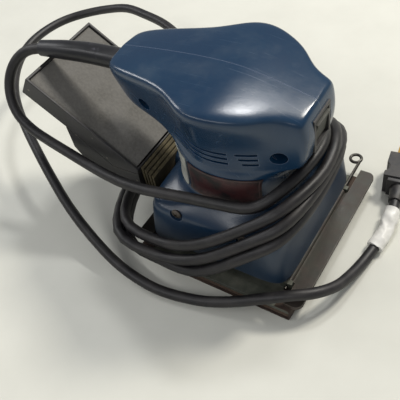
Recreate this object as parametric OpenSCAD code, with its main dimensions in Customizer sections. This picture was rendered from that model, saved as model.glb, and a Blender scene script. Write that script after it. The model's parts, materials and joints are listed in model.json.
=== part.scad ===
// Quarter-sheet palm sander with its dust box, its sheet clamps and its mains lead.
// +X is the switch end, +Y the tool's left side, +Z up. The origin lies on the sanding
// face, under the motor's axis.

/* [Sanding base] */
// Length of the sanding base
pad_l = 106.6; // [100:0.2:114]
// Width of the sanding base
pad_w = 110.8; // [106:0.2:116]
// Thickness of the abrasive sheet
sheet_t = 0.8; // [0.5:0.1:1.2]
// Thickness of the foam pad
foam_t = 6; // [4:0.5:7]
// Thickness of the platen plate
plate_t = 2.4; // [2:0.1:3]
// Eccentric throw of the orbit
throw = 0.8; // [0.5:0.1:1]

/* [Sheet clamps] */
// Width of a clamp bar across its jaw
bar_w = 9; // [8:0.5:10]
// Thickness of a clamp bar
bar_t = 2.4; // [1.4:0.2:3]
// Diameter of the clamp wire
wire_d = 2; // [1.6:0.1:2.2]

/* [Housing] */
// Wall of the housing halves
wall = 2.6; // [2.2:0.1:3]
// Height of the skirt's lower edge above the floor
skirt_z = 20; // [19.5:0.5:22]
// Length of the skirt at its lower edge
skirt_l = 94.4; // [93:0.2:98]
// Width of the skirt at its lower edge
skirt_w = 97.2; // [96:0.2:101]
// Length of the motor barrel
barrel_l = 71; // [70:0.5:74]
// Width of the motor barrel
barrel_w = 68; // [67:0.5:71]
// Height of the palm grip's crest
crest_z = 128.5; // [127:0.5:132]
// Half width of the palm grip
palm_w = 41.5; // [40:0.5:43]
// Half width of the tail of the grip
tail_w = 21.5; // [20.5:0.5:22.5]

/* [Drive] */
// Diameter of the motor shaft
shaft_d = 8; // [7:0.5:8]
// Outer diameter of the lower and eccentric bearings
bearing_d = 22; // [21:0.5:24]
// Height of the lower and eccentric bearings
bearing_h = 7; // [6:0.5:7]
// Radius of the fan
fan_r = 34; // [30:0.5:36]
// Number of fan blades
fan_blades = 11; // [7:1:13]
// Radius of the armature core
core_r = 17; // [15:0.25:17]
// Air gap between the armature and the field
air_gap = 0.6; // [0.4:0.1:1]

/* [Dust box] */
// Width of the dust box
box_w = 62.8; // [58:0.2:66]
// Wall of the dust box
box_wall = 1.8; // [1.4:0.1:2.2]
// Outer diameter of the dust spigot
spigot_d = 12; // [10:0.5:12.5]
// Length of the spigot inside the dust box
spigot_fit = 9.5; // [8:0.5:12]

/* [Mains lead] */
// Diameter of the mains lead
cord_d = 6.6; // [6:0.1:7]
// Diameter of the strain relief where it passes the housing
relief_d = 11.6; // [11:0.2:12]
// Diameter of the strain relief's sleeve behind the housing
sleeve_d = 13.6; // [12.6:0.2:14]

/* [Hidden] */
$fn = 48;

blue = "#2f4a6d";
black = "#26272a";
steel = "#b9bcc0";
eps = 0.01;
seat_gap = 0.3;      // between parts of different bodies and loosely seated parts
run_gap = 0.05;      // radial clearance of a running fit

// heights of the base, from the floor up
foam_z = sheet_t;
plate_z = foam_z + foam_t;
plate_top = plate_z + plate_t;
pad_in_l = pad_l - 2 * sheet_t;      // length inside the folded sheet
fold_z = plate_top + sheet_t + 0.1;  // top of the folded sheet's tongues
fold_w = 9;                          // width of a folded tongue
pivot_x = pad_in_l / 2 - bar_w + 1.5;
eye_r = wire_d / 2 + run_gap + 1;    // outside of a clamp bar's rolled eye
pivot_z = fold_z + eye_r + 0.1;

// heights of the drive
carrier_z = plate_top;
carrier_t = 6;
pin_z = carrier_z + 4.6;                 // underside of the eccentric bearing
hub_r = bearing_d / 2 + 2.8;
weight_z = pin_z + bearing_h + 3.2;
weight_t = 3.4;
fan_z = weight_z + weight_t;
fan_t = 10;
baffle_z = fan_z + fan_t + 1.2;
baffle_t = 1.6;
bridge_z = baffle_z + baffle_t;
bridge_t = 9;
lower_z = bridge_z + 1;                  // underside of the lower bearing
core_z = bridge_z + bridge_t + 8;
core_h = 24;
field_r = barrel_w / 2 - wall - 1;
bore_r = core_r + air_gap;
coil_out = field_r - 5.4;
end_t = 4.4;                             // height of the windings past the core
plate2_z = core_z + core_h + end_t + 1;  // brush plate
plate2_t = 2.6;
comm_r = 11;
comm_z = plate2_z + 1.4;
comm_h = 10;
brush_z = comm_z + comm_h / 2;
upper_z = comm_z + comm_h + 6;           // underside of the upper bearing
upper_d = 19;
upper_h = 6;
neck_d = 7;                              // shaft diameter in the upper bearing
post_x = 30;
post_y = 34;
post_d = 9;

// levels of the housing's outline
skirt_top = skirt_z + 29;
barrel_z = skirt_top + 8.5;
head_z = barrel_z + 27.5;
tail_x = -74;
front_x = 49;
port_z = 41.8;
cord_z = 110.2;

function flip(p) = [p[0], -p[1], p[2]];
function mid2(n) = n / max(norm(n), 1e-6);

// ---- housing outline: rows of control points from the front seam round the side to the
// rear seam; every row has the same 17 stations
function skirt_row(a, b, r) = let (c = b - r) [[a, 0], [a, 0.55 * c], [a, c],
    [a - 0.12 * r, b - 0.12 * r], [a - r, b], [25, b], [15, b], [3, b], [-8, b], [-17, b],
    [-25, b], [-a + r, b], [-a + 0.12 * r, b - 0.12 * r], [-a, c], [-a, 0.7 * c], [-a, 0.4 * c],
    [-a, 0]];
barrel_angles = [0, 15, 28, 39, 49, 60, 73, 87, 101, 114, 126, 138, 149, 159, 167, 174, 180];
function power(v, e) = sign(v) * pow(abs(v), e);
function barrel_row(a, b) = [for (t = barrel_angles) [a * power(cos(t), 0.88), b * power(sin(t), 0.88)]];
function head_row(f, fw, w, t, r) = [[f, 0], [f, 0.6 * fw], [f - 0.5, fw], [f - 5, fw + 1],
    [33, fw + 4], [25, 0.62 * w + 6], [15, 0.87 * w + 1.5], [3, w + 0.3], [-8, w],
    [-17, 0.86 * w + 0.5], [-25, 0.54 * w + 0.4 * t], [-35, t + 5.3], [-50, t + 2], [-64, t - 1],
    [r + 1.5, t - 4.5], [r, 0.5 * t], [r, 0]];
function lift(row, z) = [for (p = row) [p[0], p[1], z]];
flank_w = barrel_w / 2 - 0.6;
function slant(row, zf, zr) = [for (p = row)
    [p[0], p[1], p[0] > -20 ? zf : zf + (zr - zf) * min(1, (-20 - p[0]) / 25)]];
// height of the crest line along the tool
function crest(x) = x > 0 ? crest_z - 9.5 * pow(x / 46, 1.35) : crest_z - 7 * pow(-x / 75, 1.8);
function under(p, k) = [p[0] > 28 ? barrel_l / 2 + (p[0] - barrel_l / 2) * k
    : p[0] < -30 ? -barrel_l / 2 + (p[0] + barrel_l / 2) * k : p[0], p[1]];

skirt_a = skirt_l / 2;
skirt_b = skirt_w / 2;
barrel_a = barrel_l / 2 + 0.8;
barrel_b = barrel_w / 2 + 0.8;
flank = head_row(front_x - 3, 17, flank_w, tail_w - 5.5, tail_x + 3);
cap = head_row(front_x - 4, 14, palm_w * 0.74, tail_w * 0.74, tail_x + 1.5);
rows = [
    lift(skirt_row(skirt_a, skirt_b, 13), skirt_z),
    lift(skirt_row(skirt_a, skirt_b, 13), skirt_z + 1.5),
    lift(skirt_row(skirt_a - 2.6, skirt_b - 1.4, 14), skirt_top - 4),
    lift(skirt_row(skirt_a - 3.4, skirt_b - 1.8, 15), skirt_top),
    lift(barrel_row(barrel_a + 3.5, barrel_b + 4.5), barrel_z - 2),
    lift(barrel_row(barrel_a, barrel_b), barrel_z + 2),
    lift(barrel_row(barrel_a, barrel_b), barrel_z + 13),
    lift(barrel_row(barrel_a, barrel_b), head_z - 3.5),
    slant([for (p = flank) under(p, 0.55)], head_z - 0.5, head_z + 4.5),
    slant(flank, head_z + 1.5, head_z + 7),
    slant(head_row(front_x, 18, flank_w + 0.4, tail_w - 4, tail_x + 0.5), head_z + 17, head_z + 18),
    [for (p = head_row(front_x - 1.5, 19, palm_w, tail_w, tail_x)) [p[0], p[1], crest(p[0]) - 7]],
    [for (p = head_row(front_x - 2.5, 18.5, palm_w - 0.3, tail_w, tail_x))
        [p[0], p[1], crest(p[0]) - 3]],
    [for (p = cap) [p[0], p[1], crest(p[0]) - 0.6]],
    [for (p = cap) [p[0], 0, crest(p[0]) + 0.2]]];
row_n = len(rows);
col_n = len(rows[0]);
// rise of the inner skin at each row, as a share of the wall
rise = [0, 0, -0.1, -0.7, -0.9, -0.4, 0, 0.5, 1, 1, 0.2, -0.1, -0.7, -1, -1];

function row_in(i) = let (row = rows[i]) [for (j = [0 : col_n - 1])
    let (a = row[max(j - 1, 0)], b = row[min(j + 1, col_n - 1)],
        d = j == 0 ? [0, 1] : j == col_n - 1 ? [0, -1] : mid2([b[1] - a[1], a[0] - b[0]]),
        n = j == 0 ? [1, 0] : j == col_n - 1 ? [-1, 0] : [d[0], d[1]],
        inset = i == row_n - 1 ? [wall * (row[j][0] + 12) / 60, 0] : wall * n)
    [row[j][0] - inset[0], j == 0 || j == col_n - 1 || i == row_n - 1 ? 0 : row[j][1] - inset[1],
        row[j][2] + rise[i] * wall]];
rows_in = [for (i = [0 : row_n - 1]) row_in(i)];

// cubic B-spline weights
function weights(t) = [pow(1 - t, 3), 3 * pow(t, 3) - 6 * t * t + 4,
    -3 * pow(t, 3) + 3 * t * t + 3 * t + 1, pow(t, 3)] / 6;
function across(row, j) = j < 0 ? flip(row[-j]) : j > col_n - 1 ? flip(row[2 * (col_n - 1) - j]) : row[j];
function row_at(row, u) = let (j = min(floor(u), col_n - 2), w = weights(u - j))
    w[0] * across(row, j - 1) + w[1] * across(row, j) + w[2] * across(row, j + 1)
    + w[3] * across(row, j + 2);
function level(net, i, u) = i < 0 ? 2 * row_at(net[0], u) - row_at(net[1], u)
    : i > row_n - 1 ? flip(row_at(net[row_n - 2], u)) : row_at(net[i], u);
function skin(net, u, v) = let (i = min(floor(v), row_n - 2), w = weights(v - i))
    w[0] * level(net, i - 1, u) + w[1] * level(net, i, u) + w[2] * level(net, i + 1, u)
    + w[3] * level(net, i + 2, u);

// a closed slab between two grids of points, each of m rows and n columns
function slab_faces(m, n) = let (k = m * n) concat(
    [for (i = [0 : m - 2], j = [0 : n - 2]) let (a = i * n + j, b = a + n)
        each j == 0 ? [[a, b, a + 1], [b, b + 1, a + 1]] : [[a, b, b + 1], [a, b + 1, a + 1]]],
    [for (i = [0 : m - 2], j = [0 : n - 2]) let (a = k + i * n + j, b = a + n)
        each j == 0 ? [[a, a + 1, b], [b, a + 1, b + 1]] : [[a, b + 1, b], [a, a + 1, b + 1]]],
    [for (j = [0 : n - 2], t = [0, 1]) t == 0 ? [j, j + 1, k + j + 1] : [j, k + j + 1, k + j]],
    [for (j = [0 : n - 2], t = [0, 1], b = [(m - 1) * n]) t == 0
        ? [b + j, k + b + j + 1, b + j + 1] : [b + j, k + b + j, k + b + j + 1]],
    [for (i = [0 : m - 2], t = [0, 1]) t == 0
        ? [i * n, k + (i + 1) * n, (i + 1) * n] : [i * n, k + i * n, k + (i + 1) * n]],
    [for (i = [0 : m - 2], t = [0, 1], b = [n - 1]) t == 0
        ? [i * n + b, (i + 1) * n + b, k + (i + 1) * n + b]
        : [i * n + b, k + (i + 1) * n + b, k + i * n + b]]);
module slab(outer, inner) {
    m = len(outer);
    n = len(outer[0]);
    polyhedron([for (g = [outer, inner], r = g, p = r) p], slab_faces(m, n), convexity = 8);
}

// one half of the housing, on the +Y side of the seam
module half_shell() {
    us = [for (j = [0 : 2 * (col_n - 1)]) j / 2];
    vs = [for (i = [0 : 2 * (row_n - 1)]) i / 2];
    resize([0, 0, 0])
        slab([for (v = vs) [for (u = us) skin(rows, u, v)]],
            [for (v = vs) [for (u = us) skin(rows_in, u, v)]]);
}

screw_head_d = 7;
screw_d = 3.6;
// through screws of the head, [x, z, depth of the head's seat, length of the boss]
head_screws = [[-50, head_z + 16, tail_w - 8.5, tail_w - 4.3], [front_x - 14.8, head_z + 9, 11, 19.4]];
boss_d = screw_head_d + 2.4;
// side screws into the bearing bridge
bridge_screw_x = 22;
bridge_screw_z = bridge_z + 4.5;
vent_h = 1.7;
slot_w = 7.2;

module bar_y(x, z, d, y0, y1) {
    translate([x, y0, z]) rotate([-90, 0, 0]) cylinder(d = d, h = y1 - y0);
}
module bar_x(y, z, d, x0, x1) {
    translate([x0, y, z]) rotate([0, 90, 0]) cylinder(d = d, h = x1 - x0);
}
module block(x0, x1, y0, y1, z0, z1) {
    translate([x0, y0, z0]) cube([x1 - x0, y1 - y0, z1 - z0]);
}
module tablet(l, w, h, r) {
    union() {
        translate([-l / 2 + r, -w / 2, 0]) cube([l - 2 * r, w, h]);
        translate([-l / 2, -w / 2 + r, 0]) cube([l, w - 2 * r, h]);
        for (sx = [-1, 1], sy = [-1, 1])
            translate([sx * (l / 2 - r), sy * (w / 2 - r), 0]) cylinder(r = r, h = h);
    }
}
module tube(ro, ri, z0, h) {
    translate([0, 0, z0]) difference() {
        cylinder(r = ro, h = h);
        translate([0, 0, -1]) cylinder(r = ri, h = h + 2);
    }
}

// what is cut from a half on the +Y side; the recess for the screw heads is on one side
module shell_cuts(heads) {
    for (s = head_screws) {
        bar_y(s[0], s[1], screw_d, -1, heads ? 60 : s[2] - 2);
        if (heads) bar_y(s[0], s[1], screw_head_d + 0.4, s[2], 60);
    }
    for (x = [-bridge_screw_x, bridge_screw_x]) {
        bar_y(x, bridge_screw_z, screw_d, 30, 60);
        bar_y(x, bridge_screw_z, screw_head_d + 0.4, skirt_b - 3.4, 60);
    }
    for (k = [0, 1, 2]) {
        block(-30 + 2 * k, 10, 20, 50, head_z + 4.2 + 3.6 * k, head_z + 4.2 + vent_h + 3.6 * k);
        block(14 + 1.5 * (2 - k), 25, 20, 50, head_z + 4.2 + 3.6 * k, head_z + 4.2 + vent_h + 3.6 * k);
    }
    block(front_x - 12, front_x + 5, -1, switch_w / 2 + 0.2, switch_z - switch_h / 2 - 0.2,
        switch_z + switch_h / 2 + 0.2);
    bar_x(0, cord_z, relief_d + 0.4, tail_x - 5, tail_x + 10);
    bar_x(0, port_z, spigot_d + 0.4, -skirt_a - 5, -skirt_a + 14);
}
module shell_bosses(heads) {
    for (s = head_screws) {
        difference() {
            bar_y(s[0], s[1], boss_d, 0, s[3]);
            bar_y(s[0], s[1], screw_d, -1, heads ? 60 : s[2] - 2);
        }
    }
}
module half(heads) {
    difference() {
        union() {
            half_shell();
            shell_bosses(heads);
        }
        shell_cuts(heads);
    }
}
module housing_left() {
    color(blue) half(false);
}
module housing_right() {
    color(blue) mirror([0, 1, 0]) half(true);
}
module housing_screws() {
    color(steel) {
        for (s = head_screws) {
            bar_y(s[0], s[1], screw_d - 0.6, -s[2] + eps, s[2] - 4);
            difference() {
                bar_y(s[0], s[1], screw_head_d, -s[2] - 2.4, -s[2] - 0.05);
                block(s[0] - 0.5, s[0] + 0.5, -s[2] - 3, -s[2] - 1.4, s[1] - 4, s[1] + 4);
            }
        }
        for (x = [-bridge_screw_x, bridge_screw_x], side = [-1, 1])
            mirror([0, side < 0 ? 1 : 0, 0]) union() {
                bar_y(x, bridge_screw_z, screw_d - 0.6, skirt_b - 14, skirt_b - 3.3);
                bar_y(x, bridge_screw_z, screw_head_d, skirt_b - 3.3, skirt_b - 1.8);
            }
    }
}

// a thin label that lies on the barrel's facets from station u0 to u1
function on_facet(u, v) = let (a = floor(2 * v) / 2, f = 2 * (v - a))
    (1 - f) * skin(rows, u, a) + f * skin(rows, u, a + 0.5);
module label_patch(u0, u1) {
    us = [for (u = [u0 : 0.5 : u1]) u];
    out = [for (u = us) let (a = skin(rows, u - 0.1, 6), b = skin(rows, u + 0.1, 6))
        mid2([b[1] - a[1], a[0] - b[0], 0])];
    function layer(t) = [for (v = label_v) [for (k = [0 : len(us) - 1]) on_facet(us[k], v) + t * out[k]]];
    slab(layer(label_t + label_lift), layer(label_lift));
}
label_v = [5.15, 5.5, 6, 6.5, 6.7];
label_t = 0.4;
label_lift = 0.2;
module side_label_left() {
    color("#5d2a28") label_patch(4.5, 9);
}
module side_label_right() {
    mirror([0, 1, 0]) side_label_left();
}
module rating_plate_left() {
    color("#a9aaa6") label_patch(9.5, 13);
}
module rating_plate_right() {
    mirror([0, 1, 0]) rating_plate_left();
}

// ---- switch
switch_w = 19;
switch_h = 21;
switch_z = head_z + 17.5;
rocker_w = 14;
rocker_x = front_x - 6.5;
rocker_travel = 14;
trunnion_d = 4;
bezel_x = front_x - 10;
switch_depth = 12;
module switch_bezel() {
    color(black) difference() {
        block(bezel_x, front_x - 0.8, -switch_w / 2, switch_w / 2, switch_z - switch_h / 2,
            switch_z + switch_h / 2);
        block(bezel_x - 1, front_x + 1, -rocker_w / 2 - seat_gap, rocker_w / 2 + seat_gap,
            switch_z - switch_h / 2 + 2.2, switch_z + switch_h / 2 - 2.2);
        bar_y(rocker_x, switch_z, trunnion_d + 2 * run_gap, -switch_w / 2 + 0.8, switch_w / 2 - 0.8);
    }
}
module switch_body() {
    color("#3a3b3e") union() {
        block(bezel_x - switch_depth, bezel_x, -switch_w / 2 + 1.5, switch_w / 2 - 1.5,
            head_z + 13.9, switch_z + switch_h / 2 - 1.5);
        for (y = [-4, 4])
            block(bezel_x - switch_depth - 3, bezel_x - switch_depth, y - 1.6, y + 1.6,
                switch_z + 3, switch_z + 3.8);
    }
}
module switch_rocker() {
    color("#6b6e5f") union() {
        bar_y(rocker_x, switch_z, trunnion_d, -switch_w / 2 + 1.1, switch_w / 2 - 1.1);
        translate([rocker_x, rocker_w / 2, switch_z]) rotate([90, 0, 0]) linear_extrude(rocker_w)
            polygon([[-1.5, -2], [1.6, -7], [4, -7], [4.9, 0.2], [6.6, 6.4], [3.4, 7], [0.6, 4.5],
                [-1.5, 2]]);
    }
}

// ---- lead: strain relief, clamp, wires, free lead, coil, plug
// a tube of section rings swept along points; radius r0 at the start and r1 at the end
function unit(p) = p / norm(p);
function along(P, k) = unit(P[min(k + 1, len(P) - 1)] - P[max(k - 1, 0)]);
function side_of(t, s) = unit(s - (s * t) * t);
function ring(c, t, s, r, n) = let (q = cross(t, s))
    [for (i = [0 : n - 1]) c + r * (cos(360 * i / n) * s + sin(360 * i / n) * q)];
function sweep_sides(P) = [for (k = 0, s = side_of(along(P, 0), [0.12, 0.31, 1]); k < len(P);
    k = k + 1, s = k < len(P) ? side_of(along(P, k), s) : s) s];
module sweep(P, r0, r1, n) {
    m = len(P);
    S = sweep_sides(P);
    pts = [for (k = [0 : m - 1]) each ring(P[k], along(P, k), S[k], r0 + (r1 - r0) * k / (m - 1), n)];
    faces = concat([for (k = [0 : m - 2], i = [0 : n - 1])
            [k * n + i, (k + 1) * n + i, (k + 1) * n + (i + 1) % n, k * n + (i + 1) % n]],
        [[for (i = [0 : n - 1]) i]], [[for (i = [n - 1 : -1 : 0]) (m - 1) * n + i]]);
    polyhedron(pts, faces, convexity = 6);
}
// Catmull-Rom points through P, open or closed
function cr(a, b, c, d, t) = 0.5 * (2 * b + (c - a) * t + (2 * a - 5 * b + 4 * c - d) * t * t
    + (3 * b - a - 3 * c + d) * t * t * t);
function open_curve(P, n) = let (m = len(P)) concat([for (i = [0 : m - 2], k = [0 : n - 1])
    cr(i > 0 ? P[i - 1] : 2 * P[0] - P[1], P[i], P[i + 1],
        i < m - 2 ? P[i + 2] : 2 * P[m - 1] - P[m - 2], k / n)], [P[m - 1]]);
function closed_curve(P, n) = let (m = len(P)) [for (i = [0 : m - 1], k = [0 : n - 1])
    cr(P[(i + m - 1) % m], P[i], P[(i + 1) % m], P[(i + 2) % m], k / n)];

relief_path = [[tail_x - 0.9, 0, cord_z + 0.1], [-85, -0.8, 110.7], [-100, -3, 111.4],
    [-116, -5.8, 111.3], [-133, -8.5, 110.3]];
lead_path = [[-133, -8.5, 110.3], [-144.4, -11.7, 107.5], [-152.9, -17.1, 100.7],
    [-156.8, -23.5, 91.1], [-155.3, -29.6, 80.7], [-148.7, -34.2, 71.6], [-137.6, -36.6, 65.4],
    [-124, -37.9, 61.8], [-108, -39.1, 58.7], [-91, -40.6, 56], [-76, -42.5, 55.4],
    [-61, -44.3, 56.5], [-46, -45, 58.3], [-30, -44, 60.7], [-14, -42.6, 63], [4, -41, 65],
    [20, -39.5, 67.5]];
// stations round the coil: top strand, bottom strand and outward bulge between them
coil_stations = [
    [[25, -37.5, 68], [28.5, -55, 44], [3, -2, 2]],
    [[36.5, -24, 75], [44.5, -39.5, 54], [4, -2, 3]],
    [[41.5, 0, 77], [46, -2, 55], [5, 0, 2]],
    [[39, 19.5, 76], [44, 34, 55], [4, 2, 3]],
    [[25, 39, 68], [28.5, 56, 44], [3, 2, 2]],
    [[-2, 51, 52], [0, 61, 28], [0, 3, 0]],
    [[-30, 52, 40], [-28, 62, 27], [0, 3, 2]],
    [[-58, 47, 33], [-57, 58, 23], [-3, 3, 1]],
    [[-74, 22, 29], [-77, 26, 11], [-4, 0, 0]],
    [[-74, -16, 29], [-77, -20, 11], [-4, 0, 0]],
    [[-60, -47, 31], [-50.5, -59.5, 20.8], [-3, -3, 2]],
    [[-31, -52, 33], [-28, -62, 15], [0, -3, 2]],
    [[-2, -51, 52], [-1, -62, 20], [0, -3, 0]]];
run_path = [[4, 62, 25], [-11, 66.4, 26], [-29, 70.5, 29], [-54, 74, 37], [-79, 82, 47],
    [-105, 93, 55], [-127, 102, 58], [-150, 109, 57], [-172, 113, 56], [-193, 111, 52],
    [-210, 102, 50], [-221, 88, 50], [-226, 71, 50.5], [-226.5, 53, 50.5], [-222, 36, 50],
    [-213, 19, 49], [-200, 3, 47.5], [-183.5, -11, 46], [-165, -23.5, 44], [-146, -35, 40.5],
    [-126.5, -46, 34.5], [-103.5, -57.5, 25], [-79, -66.5, 16], [-54, -73, 9.5], [-27, -74.5, 5],
    [0, -70, 5], [20, -64, 9.2], [36, -58, 15], [50.5, -50.8, 18.4], [62.5, -41.8, 17],
    [70, -29.6, 12.2], [73.2, -16.8, 7.7], [75.5, -3, 4.6], [77.5, 11, 3.9], [79, 24, 5], [78, 40, 8],
    [77, 46, 8.6]];
cord_r = cord_d / 2;

module strain_relief() {
    color(black) union() {
        sweep(open_curve(relief_path, 3), sleeve_d / 2, cord_r + 2, 16);
        bar_x(0, cord_z, relief_d, tail_x - 2, tail_x + 5);
        bar_x(0, cord_z, relief_d + 2.2, tail_x + 4, tail_x + 6.5);
        bar_x(0, cord_z, cord_d, tail_x + 6, tail_x + 12);
    }
}
clamp_x = tail_x + 12;
module cord_clamp() {
    color("#1f2022") difference() {
        block(clamp_x, clamp_x + 8, -tail_w + wall + 6.5, tail_w - wall - 6.5, cord_z - 6.4, cord_z + 4);
        for (y = [-8.5, 8.5])
            translate([clamp_x + 4, y, cord_z - 8]) cylinder(d = 3, h = 20);
    }
}
module clamp_screws() {
    color(steel) for (y = [-8.5, 8.5]) translate([clamp_x + 4, y, cord_z - 6.5]) {
        cylinder(d = 2.8, h = 10.5);
        translate([0, 0, 10.5]) cylinder(d = 5, h = 1.5);
    }
}
module lead_wires() {
    color("#111111") for (s = [-1, 1])
        sweep(open_curve([[clamp_x + 8.5, 2 * s, cord_z], [-44, 4 * s, cord_z + 3],
            [-24, 7 * s, cord_z + 5.5], [-6, 8.5 * s, upper_z + upper_h + 6.5],
            [8, 7 * s, upper_z + upper_h + 6.5], [19, 5 * s, switch_z + 8],
            [bezel_x - switch_depth - 3.9, 4 * s, switch_z + 3.4]], 3), 1, 1, 6);
}
// the coil's outer shape: a band through the strands
band_r = cord_r + 0.4;
module cord_coil() {
    tops = closed_curve([for (s = coil_stations) s[0]], 3);
    lows = closed_curve([for (s = coil_stations) s[1]], 3);
    outs = closed_curve([for (s = coil_stations) s[2]], 3);
    m = len(tops);
    n = 8;
    pts = [for (k = [0 : m - 1])
        let (c = (tops[k] + lows[k]) / 2,
            t = unit((tops[(k + 1) % m] + lows[(k + 1) % m]) - (tops[(k + m - 1) % m]
                + lows[(k + m - 1) % m])),
            w0 = unit(lows[k] - tops[k]), w = unit(w0 - (w0 * t) * t), q = cross(w, t),
            sgn = q * [c[0] + 12, c[1], 0] > 0 ? 1 : -1, out = sgn * q)
        each [tops[k] - band_r * w, tops[k] + band_r * (0.75 * out - 0.6 * w),
            c + outs[k] + band_r * out, lows[k] + band_r * (0.75 * out + 0.6 * w),
            lows[k] + band_r * w, lows[k] + band_r * (0.6 * w - 0.75 * out),
            c - band_r * 0.95 * out, tops[k] + band_r * (-0.6 * w - 0.75 * out)]];
    faces = [for (k = [0 : m - 1], i = [0 : n - 1], t = [0, 1])
        let (a = k * n + i, b = k * n + (i + 1) % n, c = ((k + 1) % m) * n + (i + 1) % n,
            d = ((k + 1) % m) * n + i) t == 0 ? [a, c, b] : [a, d, c]];
    color("#2b2b2e") polyhedron(pts, faces, convexity = 6);
}
module cord_lead() {
    color("#2b2b2e") sweep(open_curve(lead_path, 2), cord_r, cord_r, 8);
}
module cord_run() {
    color("#2b2b2e") sweep(open_curve(run_path, 2), cord_r, cord_r, 8);
}
tag_r = cord_r + 1.3;
module cord_tag() {
    tag_path = open_curve([for (k = [len(run_path) - 4 : len(run_path) - 2]) run_path[k]], 4);
    color("#e9e9e6") sweep(tag_path, tag_r, tag_r, 12);
}
plug_y = 46;
plug_x = 77;
plug_l = 36;
plug_turn = 8;
module at_plug() {
    translate([plug_x, plug_y, 8.6]) rotate([0, 0, plug_turn]) children();
}
module plug_body() {
    color(black) at_plug() union() {
        rotate([-90, 0, 0]) cylinder(r1 = cord_r + 1, r2 = 6, h = 14);
        translate([0, 14, 0]) difference() {
            union() {
                translate([-11, 0, -8.3]) cube([22, plug_l - 14, 16.6]);
                translate([-8, -3, -7]) cube([16, 3.01, 14]);
            }
            for (sx = [-1, 1]) translate([sx * 13.2, 8, -9]) cylinder(r = 4.5, h = 20);
        }
    }
}
module plug_blades() {
    color("#c8b568") at_plug() for (sx = [-6.35, 6.35])
        translate([sx - 0.75, plug_l, -3.2]) difference() {
            cube([1.5, 17, 6.4]);
            translate([-1, 13, 3.2]) rotate([0, 90, 0]) cylinder(d = 3, h = 4);
        }
}

// ---- motor, fixed parts
module upper_bearing_seat() {
    arm = (flank_w + palm_w) / 2 - wall - 2.05;
    color("#303236") difference() {
        union() {
            translate([0, 0, upper_z - 2]) cylinder(d = upper_d + 6, h = upper_h + 4);
            block(-5, 5, -arm, arm, upper_z, upper_z + upper_h);
        }
        translate([0, 0, upper_z]) cylinder(d = upper_d, h = upper_h + 3);
        translate([0, 0, upper_z - 3]) cylinder(d = upper_d - 5, h = 4);
    }
}
ring_t = 1.6;        // inner ring's thickness
module race(d, bore, z, h) {
    // outer ring, its balls and the two shields that run close to the inner ring
    hub = bore / 2 + ring_t;
    outer = d / 2 - 1.7;
    union() {
        tube(d / 2, outer, z, h);
        for (zs = [z, z + h - 0.6])
            tube(outer + 0.5, hub + run_gap, zs, 0.6);
        for (k = [0 : 7])
            rotate([0, 0, 45 * k]) translate([(hub + run_gap + outer) / 2, 0, z + h / 2])
                sphere(d = outer - hub, $fn = 24);
    }
}
module upper_bearing_race() {
    color(steel) race(upper_d, neck_d, upper_z, upper_h);
}
module upper_bearing_hub() {
    color(steel) tube(neck_d / 2 + ring_t, neck_d / 2, upper_z, upper_h);
}
module lower_bearing_race() {
    color(steel) race(bearing_d, shaft_d, lower_z, bearing_h);
}
module lower_bearing_hub() {
    color(steel) tube(shaft_d / 2 + ring_t, shaft_d / 2, lower_z, bearing_h);
}
module eccentric_bearing_race() {
    color(steel) translate([throw, 0, 0]) race(bearing_d, shaft_d, pin_z, bearing_h);
}
module eccentric_bearing_hub() {
    color(steel) translate([throw, 0, 0]) tube(shaft_d / 2 + ring_t, shaft_d / 2, pin_z, bearing_h);
}
screw_y = field_r - 3.9;      // field screws, either side of the shaft
pole_a = 48;
module sector(r0, r1, z0, h, a) {
    rotate([0, 0, -a]) rotate_extrude(angle = 2 * a) translate([r0, z0]) square([r1 - r0, h]);
}
module field_core() {
    color("#6f6f70") difference() {
        tube(field_r, bore_r, core_z, core_h);
        for (k = [90, 270])
            rotate([0, 0, k]) sector(bore_r - 2, coil_out, core_z - 1, core_h + 2, 90 - pole_a);
        for (s = [-1, 1])
            translate([0, s * screw_y, core_z - 1]) cylinder(d = screw_d, h = core_h + 2);
    }
}
module field_windings() {
    color("#8a4a22") for (k = [0, 180])
        rotate([0, 0, k]) difference() {
            sector(bore_r + 1, coil_out - 0.2, core_z - end_t, core_h + 2 * end_t, pole_a + 22);
            sector(bore_r - 1, coil_out + 1, core_z - eps, core_h + 2 * eps, pole_a + 0.6);
        }
}
module brush_plate() {
    color("#3b3a36") difference() {
        union() {
            translate([0, 0, plate2_z]) cylinder(r = field_r - 0.4, h = plate2_t);
            for (s = [-1, 1])
                translate([0, s * screw_y, core_z + core_h]) cylinder(d = 6.4, h = end_t + 2);
        }
        translate([0, 0, plate2_z - 1]) cylinder(r = comm_r + 2.4, h = plate2_t + 2);
        for (s = [-1, 1])
            translate([0, s * screw_y, core_z]) cylinder(d = screw_d, h = core_h + 20);
    }
}
module field_screws() {
    color(steel) for (s = [-1, 1])
        translate([0, s * screw_y, 0]) {
            translate([0, 0, bridge_z + 3])
                cylinder(d = screw_d - 0.5, h = plate2_z + plate2_t - bridge_z - 3);
            translate([0, 0, plate2_z + plate2_t]) cylinder(d = 5.6, h = 2.4);
        }
}
brush_w = 6;
brush_h = 5;
module to_brushes() {
    for (k = [0, 180]) rotate([0, 0, k]) children();
}
module brush_holders() {
    color("#b08d3c") to_brushes() difference() {
        block(comm_r + 2, field_r - 6, -brush_w / 2 - 1.2, brush_w / 2 + 1.2, plate2_z + plate2_t,
            brush_z + brush_h / 2 + 1.2);
        block(comm_r, field_r - 7.2, -brush_w / 2 - 0.1, brush_w / 2 + 0.1, brush_z - brush_h / 2 - 0.1,
            brush_z + brush_h / 2 + 0.1);
    }
}
module carbon_brushes() {
    color("#1a1a1a") to_brushes()
        block(comm_r + 0.2, comm_r + 7.5, -brush_w / 2, brush_w / 2, brush_z - brush_h / 2,
            brush_z + brush_h / 2);
}
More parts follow.
